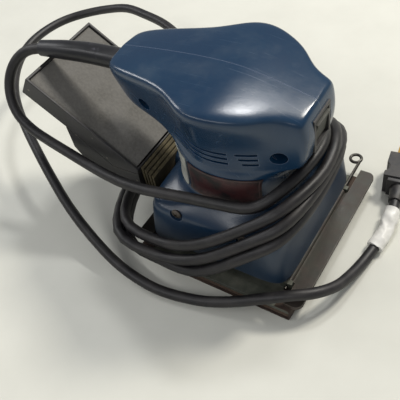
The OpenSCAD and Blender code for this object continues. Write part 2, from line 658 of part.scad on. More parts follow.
module brush_springs() {
    turns = 3;
    x0 = comm_r + 7.9;
    x1 = field_r - 7.5;
    color(steel) to_brushes() sweep([for (k = [0 : 10 * turns]) let (a = 36 * k)
        [x0 + (x1 - x0) * k / (10 * turns), 1.7 * cos(a), brush_z + 1.7 * sin(a)]], 0.3, 0.3, 5);
}
module bearing_bridge() {
    l = skirt_l - 2 * wall - 9;
    w = skirt_w - 2 * wall - 6.2;
    color("#8f9297") difference() {
        union() {
            translate([0, 0, bridge_z]) tablet(l, w, bridge_t - 2, 12);
            translate([0, 0, bridge_z]) cylinder(d = bearing_d + 8, h = bridge_t);
            for (s = [-1, 1])
                translate([0, s * screw_y, bridge_z]) cylinder(d = 7, h = core_z - bridge_z);
        }
        translate([0, 0, lower_z]) cylinder(d = bearing_d, h = bridge_t + 5);
        translate([0, 0, bridge_z - 1]) cylinder(d = shaft_d + 6, h = 10);
        for (a = [45 : 90 : 315], r = [24, 31])
            rotate([0, 0, a]) translate([r, 0, bridge_z - 1]) cylinder(d = 10, h = 20);
        for (s = [-1, 1]) {
            translate([0, s * screw_y, bridge_z + 2]) cylinder(d = screw_d - 0.5, h = 40);
            for (x = [-bridge_screw_x, bridge_screw_x])
                bar_y(x, bridge_screw_z, screw_d - 0.6, s > 0 ? skirt_b - 14 : -skirt_b,
                    s > 0 ? skirt_b : -skirt_b + 14);
            for (x = [-post_x, post_x])
                translate([x, s * post_y, bridge_z - 1]) cylinder(d = post_d, h = 5);
        }
        block(-l / 2 - 1, -l / 2 + 12, -spigot_d / 2 - 4, spigot_d / 2 + 4, bridge_z - 1, bridge_z + 20);
    }
}
module air_baffle() {
    l = skirt_l - 2 * wall - 6.6;
    w = skirt_w - 2 * wall - 4.2;
    color("#33353a") difference() {
        translate([0, 0, baffle_z]) tablet(l, w, baffle_t, 12);
        translate([0, 0, baffle_z - 1]) cylinder(r = 20, h = 5);
        for (x = [-post_x, post_x], y = [-post_y, post_y])
            translate([x, y, baffle_z - 1]) cylinder(d = post_d + 0.4, h = 5);
        block(-l / 2 - 1, -l / 2 + 12, -spigot_d / 2 - 4, spigot_d / 2 + 4, baffle_z - 1, baffle_z + 3);
    }
}
socket_d = post_d + 2 * throw + 1.2;
module orbit_posts() {
    color("#202124") for (x = [-post_x, post_x], y = [-post_y, post_y])
        translate([x, y, plate_top + 0.5]) cylinder(d = post_d, h = bridge_z + 4 - plate_top - 0.5);
}
spigot_end = -59.5 - spigot_fit;
module dust_spigot() {
    color("#2b3f5c") difference() {
        union() {
            bar_x(0, port_z, spigot_d, spigot_end, -skirt_a + 10);
            block(-skirt_a + 6.6, -skirt_a + 8.6, -spigot_d / 2 - 3.5, spigot_d / 2 + 3.5,
                port_z - spigot_d / 2 + 2, port_z + 4);
        }
        bar_x(0, port_z, spigot_d - 3, spigot_end - 1, -skirt_a + 12);
    }
}

// ---- rotor
module armature_shaft() {
    color(steel) union() {
        translate([0, 0, weight_z - 1.4]) cylinder(d = shaft_d, h = upper_z - 0.5 - weight_z + 1.4);
        translate([0, 0, upper_z - 0.5 - eps]) cylinder(d = neck_d, h = upper_h + 1.5);
        translate([0, 0, weight_z - 2.4]) cylinder(d = shaft_d + 4, h = 1.4);
        translate([throw, 0, pin_z - 1.6]) cylinder(d = shaft_d, h = weight_z - 2.4 - pin_z + 1.6 + eps);
        translate([throw, 0, pin_z - 2.8]) cylinder(d = shaft_d + 3, h = 1.2);
    }
}
module armature_core() {
    color("#77787a") difference() {
        tube(core_r, shaft_d / 2, core_z, core_h);
        for (k = [0 : 11])
            rotate([0, 0, 30 * k]) translate([core_r - 2.2, 0, core_z - 1]) {
                cylinder(d = 3.2, h = core_h + 2);
                translate([0, -0.6, 0]) cube([4, 1.2, core_h + 2]);
            }
    }
}
module armature_windings() {
    color("#a65a2a") for (z = [core_z - end_t + 0.6, core_z + core_h])
        translate([0, 0, z]) rotate_extrude() translate([shaft_d / 2 + 0.05, 0])
            polygon([[0, 0], [9.6, 0], [10.2, 1], [10.2, 2.8], [9.4, 3.8], [1.2, 3.8], [0, 2.8]]);
}
module commutator() {
    color("#b5762f") difference() {
        tube(comm_r, shaft_d / 2, comm_z, comm_h);
        for (k = [0 : 11])
            rotate([0, 0, 30 * k]) translate([comm_r - 1, -0.25, comm_z - 1]) cube([3, 0.5, comm_h + 2]);
    }
}
module fan() {
    color("#c9c9c4") difference() {
        union() {
            translate([0, 0, fan_z + fan_t - 1.8]) cylinder(r = fan_r, h = 1.8);
            translate([0, 0, fan_z]) cylinder(d = shaft_d + 6, h = fan_t);
            for (k = [0 : fan_blades - 1])
                rotate([0, 0, 360 * k / fan_blades]) translate([12, 0, fan_z + 0.5]) rotate([0, 0, 22])
                    translate([0, -0.8, 0]) cube([fan_r - 13.5, 1.6, fan_t - 1]);
        }
        translate([0, 0, fan_z - 1]) cylinder(d = shaft_d, h = fan_t + 2);
        translate([0, 0, fan_z + fan_t - 3]) for (k = [0 : 5])
            rotate([0, 0, 60 * k]) translate([9.6, 0, 0]) cylinder(d = 3.4, h = 5);
    }
}
module counterweight() {
    color("#8d8f92") difference() {
        union() {
            translate([0, 0, weight_z]) cylinder(d = shaft_d + 6, h = weight_t);
            rotate([0, 0, 180]) sector(shaft_d / 2 + 1.5, 17, weight_z + 0.3, weight_t - 0.6, 75);
        }
        translate([0, 0, weight_z - 1]) cylinder(d = shaft_d, h = weight_t + 2);
    }
}

// ---- platen
carrier_rib = skirt_l - 26.4;
module platen_carrier() {
    color("#2c2d30") difference() {
        union() {
            translate([0, 0, carrier_z]) tablet(skirt_l - 18, skirt_w - 14, carrier_t - 3, 8);
            for (x = [-post_x, post_x], y = [-post_y, post_y])
                translate([x + throw, y, carrier_z]) cylinder(d = socket_d + 4, h = carrier_t + 1);
            for (a = [0, 90]) rotate([0, 0, a]) translate([-carrier_rib / 2, -1.4, carrier_z])
                cube([carrier_rib, 2.8, carrier_t]);
            translate([throw, 0, carrier_z]) cylinder(r = hub_r, h = pin_z + bearing_h - carrier_z);
        }
        translate([throw, 0, pin_z]) cylinder(d = bearing_d, h = bearing_h + 2);
        translate([throw, 0, carrier_z + 1.6]) cylinder(d = bearing_d - 5, h = 9);
        for (x = [-post_x, post_x], y = [-post_y, post_y])
            translate([x + throw, y, carrier_z - 1]) cylinder(d = socket_d, h = carrier_t + 4);
        for (a = [45 : 90 : 315])
            rotate([0, 0, a]) translate([27, 0, carrier_z - 1]) cylinder(d = screw_d - 0.4, h = 12);
    }
}
ear_y = 40;
ear_t = 3;
module platen_plate() {
    color("#8c9183") difference() {
        union() {
            block(-pad_in_l / 2, pad_in_l / 2, -pad_w / 2, pad_w / 2, plate_z, plate_top);
            for (sx = [-1, 1], y = [-ear_y, ear_y])
                block(sx > 0 ? pivot_x - 4.5 : -pivot_x - 3, sx > 0 ? pivot_x + 3 : -pivot_x + 4.5,
                    y - ear_t / 2, y + ear_t / 2, plate_top - eps, pivot_z + 2.6);
        }
        for (sx = [-1, 1])
            bar_y(sx * pivot_x, pivot_z, wire_d + 2 * run_gap, -ear_y - 3, ear_y + 3);
        for (a = [45 : 90 : 315])
            rotate([0, 0, a]) translate([27, 0, plate_z - 1]) {
                cylinder(d = screw_d, h = 12);
                cylinder(d = screw_head_d + 0.4, h = 2);
            }
    }
}
module plate_screws() {
    color(steel) for (a = [45 : 90 : 315])
        rotate([0, 0, a]) translate([27, 0, plate_z]) {
            cylinder(d = screw_head_d, h = 1);
            cylinder(d = screw_d - 0.4, h = 6.5);
        }
}
module foam_pad() {
    color("#4a3226") block(-pad_in_l / 2, pad_in_l / 2, -pad_w / 2, pad_w / 2, foam_z, plate_z);
}
// the sheet: a flat bottom, two risers and two tongues folded over the plate
module abrasive_sheet() {
    a = pad_in_l / 2;
    b = pad_l / 2;
    f = pad_in_l / 2 - fold_w + 3;
    notch = 2 * eye_r;
    color("#6b4a37") difference() {
        translate([0, pad_w / 2, 0]) rotate([90, 0, 0]) linear_extrude(pad_w)
            polygon([[-b, 0], [b, 0], [b, fold_z], [f, fold_z], [f, plate_top + 0.1],
                [a, plate_top + 0.1], [a, sheet_t], [-a, sheet_t], [-a, plate_top + 0.1],
                [-f, plate_top + 0.1], [-f, fold_z], [-b, fold_z]]);
        for (sx = [-1, 1], y = [-ear_y, ear_y])
            block(sx > 0 ? f - 1 : -pivot_x - 5, sx > 0 ? pivot_x + 5 : -f + 1,
                y - ear_t, y + ear_t, plate_top - 0.2, fold_z + 1);
    }
}

// ---- sheet clamps; built for the front end
bar_reach = pad_l / 2 + 5.4 - pivot_x;
bar_end_l = 60;
bar_end_r = 53;
bar_corner = 4.5;
module clamp_bar(y0, y1) {
    jaw_z = pivot_z - eye_r;
    difference() {
        union() {
            bar_y(pivot_x, pivot_z, 2 * eye_r, -ear_y + ear_t / 2 + 0.4, ear_y - ear_t / 2 - 0.4);
            block(pivot_x, pivot_x + 4, -ear_y + ear_t / 2 + 0.4, ear_y - ear_t / 2 - 0.4,
                jaw_z, jaw_z + bar_t);
            block(pivot_x + 3.6, pivot_x + bar_reach - bar_corner, y0, y1, jaw_z, jaw_z + bar_t);
            block(pivot_x + 3.6, pivot_x + bar_reach, y0 + bar_corner, y1 - bar_corner,
                jaw_z, jaw_z + bar_t);
            for (y = [y0 + bar_corner, y1 - bar_corner])
                translate([pivot_x + bar_reach - bar_corner, y, jaw_z])
                    cylinder(r = bar_corner, h = bar_t);
        }
        bar_y(pivot_x, pivot_z, wire_d + 2 * run_gap, y0 - 5, y1 + 5);
    }
}
loop_r = 3.6;
loop_y = 68.5;
module clamp_lever() {
    union() {
        bar_y(pivot_x, pivot_z, wire_d, -ear_y - ear_t / 2 - 2.5, loop_y - loop_r + 1.2);
        translate([pivot_x - 3.2, loop_y, pivot_z + 0.3]) rotate_extrude()
            translate([loop_r, 0]) circle(d = wire_d);
    }
}
module front_clamp_bar() {
    color("#5a4638") clamp_bar(-bar_end_r, bar_end_l);
}
module front_clamp_lever() {
    color(steel) clamp_lever();
}
module rear_clamp_bar() {
    color("#5a4638") mirror([1, 0, 0]) clamp_bar(-49.5, 54);
}
module rear_clamp_lever() {
    color(steel) mirror([1, 0, 0]) clamp_lever();
}

// ---- dust box: top line from the front edge up to the rear edge
box_front = -58.5;
box_front_z = 55;
box_rear = -129.5;
box_rear_z = 104.4;
box_slope = atan((box_rear_z - box_front_z) / (box_front - box_rear));
frame_t = 15.5;
seal_t = 1.2;
seal_w = 2.6;
// points below the top line by a depth t at distance s from the front edge
function down(s, t) = [box_front - s * cos(box_slope) - t * sin(box_slope),
    box_front_z + s * sin(box_slope) - t * cos(box_slope)];
box_len = norm([box_front - box_rear, box_rear_z - box_front_z]);
module side_plate(w, pts) {
    translate([0, w / 2, 0]) rotate([90, 0, 0]) linear_extrude(w) polygon(pts);
}
frame_profile = [[box_front, box_front_z], down(box_len, 0), down(box_len, frame_t),
    down(52, frame_t - 1), down(14, frame_t), [box_front - 0.6, box_front_z - 4]];
module dust_box_frame() {
    inner = [down(box_wall, -1), down(box_len - box_wall, -1),
        down(box_len - box_wall, frame_t - box_wall), down(54, frame_t - box_wall - 1),
        down(50, frame_t + 4), down(14, frame_t + 6), [box_front - box_wall - 0.4, box_front_z - 20]];
    color("#1b1b1c") difference() {
        side_plate(box_w, frame_profile);
        side_plate(box_w - 2 * box_wall, inner);
    }
}
tub_profile = [[box_front - 0.7, box_front_z - 4.2], down(14, frame_t + 0.2), down(52, frame_t - 0.8),
    [-109, 56], [-104, 48.5], [-92.5, 39.5], [-85, 35.6], [-77, 34], [box_front - 1, 33.6]];
module dust_box_tub() {
    inner = [[box_front - box_wall - 1, box_front_z + 10], down(14, 0), down(52, 0),
        [-109 + box_wall, 57], [-104 + box_wall, 49.8], [-92.5 + box_wall, 41.2],
        [-84.6, 37.4], [-76.8, 35.9], [box_front - box_wall - 1, 35.5]];
    color("#232324") difference() {
        union() {
            side_plate(box_w, tub_profile);
            bar_x(0, port_z, spigot_d + 4, box_front - 9, box_front - 1);
        }
        difference() {
            side_plate(box_w - 2 * box_wall, inner);
            bar_x(0, port_z, spigot_d + 4, box_front - 9, box_front + 1);
        }
        bar_x(0, port_z, spigot_d + 2 * run_gap, box_front - 12, box_front + 5);
        bar_x(0, port_z, spigot_d + 2 * seal_t, box_front - 6, box_front - 6 + seal_w);
    }
}
module spigot_seal() {
    color("#151515") translate([box_front - 6, 0, port_z]) rotate([0, 90, 0])
        tube(spigot_d / 2 + seal_t, spigot_d / 2 + run_gap, 0, seal_w);
}
// ribbed neck between the box and the housing
module dust_box_neck() {
    neck_x = box_front + 9;
    tan_slope = tan(box_slope);
    function top(x, t) = [x, box_front_z - (x - box_front) * tan_slope - t / cos(box_slope)];
    function outline(x0, x1, t) = [[x0, neck_low + t], [x1, neck_low + t], top(x1, t), top(x0, t)];
    back_x = box_front + 0.05;
    color("#4c4838") difference() {
        union() {
            side_plate(neck_w - 2 * rib_h, outline(back_x, neck_x - 0.5, rib_h));
            for (k = [0 : 3])
                side_plate(neck_w, outline(back_x + 0.3 + 2.3 * k, back_x + 1.7 + 2.3 * k, 0));
        }
        side_plate(neck_w - 2 * rib_h - 3, outline(back_x - 1, neck_x - 2, rib_h + 1.5));
        bar_x(0, port_z, spigot_d + 0.6, box_front - 1, neck_x + 2);
    }
}
neck_w = 57;
neck_low = 34.2;
rib_h = 1.1;
module filter_panel() {
    color("#7b7a76") side_plate(box_w - 2 * box_wall - 0.2, [down(box_wall + 0.1, 1.2),
        down(box_len - box_wall - 0.1, 1.2), down(box_len - box_wall - 0.1, 3.4),
        down(box_wall + 0.1, 3.4)]);
}
module filter_pleats() {
    n = 9;
    pitch = (box_len - 34) / n;
    color("#8a7a52") side_plate(box_w - 2 * box_wall - 1, concat(
        [for (k = [0 : n]) each [down(10 + k * pitch, 3.6), down(10 + k * pitch + pitch / 2, 7)]],
        [for (k = [n : -1 : 0]) each [down(10 + k * pitch + pitch / 2, 8.2), down(10 + k * pitch, 4.9)]]));
}

housing_right();
housing_left();
housing_screws();
side_label_right();
side_label_left();
rating_plate_right();
rating_plate_left();
switch_bezel();
switch_body();
switch_rocker();
strain_relief();
cord_clamp();
clamp_screws();
lead_wires();
upper_bearing_seat();
brush_plate();
brush_holders();
carbon_brushes();
brush_springs();
field_core();
field_windings();
field_screws();
bearing_bridge();
air_baffle();
orbit_posts();
dust_spigot();
upper_bearing_race();
upper_bearing_hub();
lower_bearing_race();
lower_bearing_hub();
armature_shaft();
armature_core();
armature_windings();
commutator();
fan();
counterweight();
eccentric_bearing_hub();
eccentric_bearing_race();
platen_carrier();
platen_plate();
plate_screws();
foam_pad();
abrasive_sheet();
front_clamp_bar();
front_clamp_lever();
rear_clamp_bar();
rear_clamp_lever();
dust_box_frame();
dust_box_neck();
dust_box_tub();
filter_panel();
filter_pleats();
spigot_seal();
cord_lead();
cord_coil();
cord_run();
cord_tag();
plug_body();
plug_blades();
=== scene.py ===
# Quarter-sheet palm sander: housing, clamped pad, dust box and a mains lead wound round it.
import json
import math

import bmesh
import bpy
import numpy as np
from mathutils import Matrix, Vector, noise


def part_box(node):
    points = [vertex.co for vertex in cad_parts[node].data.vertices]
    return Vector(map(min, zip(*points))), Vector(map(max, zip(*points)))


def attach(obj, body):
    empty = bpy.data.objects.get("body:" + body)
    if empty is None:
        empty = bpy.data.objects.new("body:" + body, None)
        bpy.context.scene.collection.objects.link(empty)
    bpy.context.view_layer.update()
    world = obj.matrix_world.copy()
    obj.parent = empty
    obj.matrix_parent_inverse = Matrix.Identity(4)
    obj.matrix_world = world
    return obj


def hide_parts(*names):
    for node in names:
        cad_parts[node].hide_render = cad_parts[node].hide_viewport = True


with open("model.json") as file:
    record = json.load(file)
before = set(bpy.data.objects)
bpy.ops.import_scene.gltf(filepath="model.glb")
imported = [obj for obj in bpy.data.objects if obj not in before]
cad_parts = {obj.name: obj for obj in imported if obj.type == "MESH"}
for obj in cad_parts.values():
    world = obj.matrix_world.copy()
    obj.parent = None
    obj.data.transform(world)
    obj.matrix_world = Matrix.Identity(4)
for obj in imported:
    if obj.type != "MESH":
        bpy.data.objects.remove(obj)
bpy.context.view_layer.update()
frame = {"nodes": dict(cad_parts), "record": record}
nodes = frame["nodes"]
record = frame["record"]
bodyOf = {n: b for b, members in record["behaviour"]["bodies"].items() for n in members}
slotOf = {s["node"]: s["material_slot"] for s in record["subparts"]}
mm = 0.001
noise.seed_set(7)  # without it the soft parts' ruffles would differ from run to run


# small tools
def linear(code):
    # sRGB hex to linear RGBA
    parts = [int(code[i:i + 2], 16) / 255 for i in (1, 3, 5)]
    return (*[p / 12.92 if p < 0.04045 else ((p + 0.055) / 1.055) ** 2.4 for p in parts], 1)


def add(tree, kind, values=None, links=None, **settings):
    made = tree.nodes.new(kind)
    for key, value in settings.items():
        setattr(made, key, value)
    for key, value in (values or {}).items():
        made.inputs[key].default_value = value
    for key, source in (links or {}).items():
        tree.links.new(source, made.inputs[key])
    return made


def pieceFrom(name, mesh, material, body, smooth=40):
    for polygon in mesh.polygons:
        polygon.use_smooth = True
    mesh.set_sharp_from_angle(angle=math.radians(smooth))
    piece = bpy.data.objects.new(name, mesh)
    bpy.context.scene.collection.objects.link(piece)
    mesh.materials.clear()
    mesh.materials.append(material)
    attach(piece, body)
    return piece


def meshOf(name, points, faces):
    mesh = bpy.data.meshes.new(name)
    mesh.from_pydata([tuple(p) for p in points], [], [tuple(f) for f in faces])
    mesh.update()
    return mesh


def applied(piece):
    # the piece with its modifiers made into plain mesh
    graph = bpy.context.evaluated_depsgraph_get()
    mesh = bpy.data.meshes.new_from_object(piece.evaluated_get(graph))
    old = piece.data
    piece.modifiers.clear()
    piece.data = mesh
    bpy.data.meshes.remove(old)
    return piece


def unit(v):
    v = np.asarray(v, float)
    return v / np.linalg.norm(v)


def through(points, steps):
    # a curve through the points, with steps points to each stretch
    p = [np.asarray(q, float) for q in points]
    ends = [2 * p[0] - p[1]] + p + [2 * p[-1] - p[-2]]
    made = []
    for i in range(len(p) - 1):
        a, b, c, d = ends[i:i + 4]
        for k in range(steps):
            t = k / steps
            made.append(0.5 * (2 * b + (c - a) * t + (2 * a - 5 * b + 4 * c - d) * t ** 2
                               + (3 * b - a - 3 * c + d) * t ** 3))
    return np.array(made + [p[-1]])


def tubeMesh(name, path, radius, sides):
    # a closed tube along path in millimetres; radius is a number or one for each point.
    # Its UV map has v along it and u round it, both in metres.
    count = len(path)
    radii = np.full(count, radius, float) if np.isscalar(radius) else np.asarray(radius, float)
    along = np.gradient(path, axis=0)
    along /= np.linalg.norm(along, axis=1)[:, None]
    side = unit(np.cross(along[0], [0.3, 0.2, 1]))
    travelled = np.r_[0, np.cumsum(np.linalg.norm(np.diff(path, axis=0), axis=1))]
    points, faces = [], []
    for k in range(count):
        side = unit(side - side.dot(along[k]) * along[k])
        up = np.cross(along[k], side)
        for i in range(sides):
            a = 2 * math.pi * i / sides
            points.append((path[k] + radii[k] * (math.cos(a) * side + math.sin(a) * up)) * mm)
    for k in range(count - 1):
        for i in range(sides):
            j = (i + 1) % sides
            faces.append((k * sides + i, k * sides + j, (k + 1) * sides + j, (k + 1) * sides + i))
    faces.append(tuple(range(sides))[::-1])
    faces.append(tuple((count - 1) * sides + i for i in range(sides)))
    mesh = meshOf(name, points, faces)
    layer = mesh.uv_layers.new(name="along")
    for polygon in mesh.polygons:
        for corner, vertex in zip(polygon.loop_indices, polygon.vertices):
            k, i = divmod(vertex, sides)
            turn = 1 if i == 0 and any(v % sides == sides - 1 for v in polygon.vertices) else i / sides
            layer.data[corner].uv = (turn * 2 * math.pi * radii[k] * mm, travelled[k] * mm)
    return mesh


def refined(name, node, material, bevel):
    # a copy of a CAD solid with its edges broken, which stands for it
    mesh = nodes[node].data.copy()
    shape = bmesh.new()
    shape.from_mesh(mesh)
    bmesh.ops.remove_doubles(shape, verts=shape.verts, dist=2e-6)
    bmesh.ops.dissolve_limit(shape, angle_limit=math.radians(0.6), verts=shape.verts, edges=shape.edges)
    shape.to_mesh(mesh)
    shape.free()
    piece = pieceFrom(name, mesh, material, bodyOf[node], 38)
    if bevel:
        edge = piece.modifiers.new("edges", "BEVEL")
        edge.width, edge.segments, edge.limit_method = bevel * mm, 2, "ANGLE"
        edge.angle_limit, edge.use_clamp_overlap = math.radians(32), True
        edge.harden_normals = True
        applied(piece)
    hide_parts(node)
    return piece


# finishes: a base surface, then what lies on it, each with its real size in millimetres
def maskOf(tree, place, layer):
    # 0 to 1 where the layer lies
    kind, size = layer["kind"], layer.get("size", 10)
    if kind == "edge":  # rubbed edges
        soft = add(tree, "ShaderNodeBevel", {"Radius": size * mm}, samples=6)
        flat = add(tree, "ShaderNodeNewGeometry").outputs["Normal"]
        raw = add(tree, "ShaderNodeVectorMath", operation="DOT_PRODUCT",
                  links={0: soft.outputs[0], 1: flat}).outputs["Value"]
    elif kind == "low":  # near the floor
        raw = add(tree, "ShaderNodeSeparateXYZ", links={0: place}).outputs["Z"]
    elif kind == "specks":
        raw = add(tree, "ShaderNodeTexVoronoi", {"Scale": 1000 / size, "Randomness": 1},
                  {"Vector": place}).outputs["Distance"]
    else:  # clouds, dust and streaks
        spot = place
        if "stretch" in layer:
            spot = add(tree, "ShaderNodeMapping", {"Scale": layer["stretch"]},
                       {"Vector": place}, vector_type="TEXTURE").outputs[0]
        raw = add(tree, "ShaderNodeTexNoise", {"Scale": 1000 / size, "Detail": 4, "Roughness": 0.6},
                  {"Vector": spot}).outputs[0]
    mask = add(tree, "ShaderNodeMapRange", {"From Min": layer["low"], "From Max": layer["high"],
               "To Max": layer.get("much", 1)}, {"Value": raw}).outputs[0]
    if kind == "dust":  # lies on what faces up
        up = add(tree, "ShaderNodeSeparateXYZ",
                 links={0: add(tree, "ShaderNodeNewGeometry").outputs["Normal"]}).outputs["Z"]
        lying = add(tree, "ShaderNodeMapRange", {"From Min": layer.get("lean", -0.2), "From Max": 0.95},
                    {"Value": up}).outputs[0]
        mask = add(tree, "ShaderNodeMath", operation="MULTIPLY", links={0: mask, 1: lying}).outputs[0]
    return mask


def finish(name, look):
    material = bpy.data.materials.new(name)
    material.use_nodes = True
    tree = material.node_tree
    tree.nodes.clear()
    place = add(tree, "ShaderNodeTexCoord").outputs["Object"]
    base = add(tree, "ShaderNodeRGB")
    base.outputs[0].default_value = linear(look["colour"])
    colour, rough = base.outputs[0], None
    for layer in look.get("layers", ()):
        mask = maskOf(tree, place, layer)
        if "colour" in layer:
            colour = add(tree, "ShaderNodeMix", {7: linear(layer["colour"])}, {0: mask, 6: colour},
                         data_type="RGBA").outputs[2]
        if "rough" in layer:
            if rough is None:
                rough = add(tree, "ShaderNodeValue").outputs[0]
                rough.default_value = look["rough"]
            rough = add(tree, "ShaderNodeMix", {3: layer["rough"]}, {0: mask, 2: rough}).outputs[0]
    shader = add(tree, "ShaderNodeBsdfPrincipled", {
        "Roughness": look["rough"], "Metallic": look.get("metal", 0), "IOR": 1.5,
        "Sheen Weight": look.get("sheen", 0), "Sheen Roughness": 0.5}, {"Base Color": colour})
    if rough:
        tree.links.new(rough, shader.inputs["Roughness"])
    relief = None
    for grain in look.get("grain", ()):
        spot = place
        if "stretch" in grain:
            spot = add(tree, "ShaderNodeMapping", {"Scale": grain["stretch"]}, {"Vector": place},
                       vector_type="TEXTURE").outputs[0]
        height = add(tree, "ShaderNodeTexNoise", {"Scale": 1000 / grain["size"], "Detail": 3},
                     {"Vector": spot}).outputs[0]
        bump = add(tree, "ShaderNodeBump", {"Strength": 1, "Distance": grain["deep"] * mm},
                   {"Height": height})
        if relief:
            tree.links.new(relief, bump.inputs["Normal"])
        relief = bump.outputs[0]
    if relief:
        tree.links.new(relief, shader.inputs["Normal"])
    add(tree, "ShaderNodeOutputMaterial", links={"Surface": shader.outputs[0]})
    return material


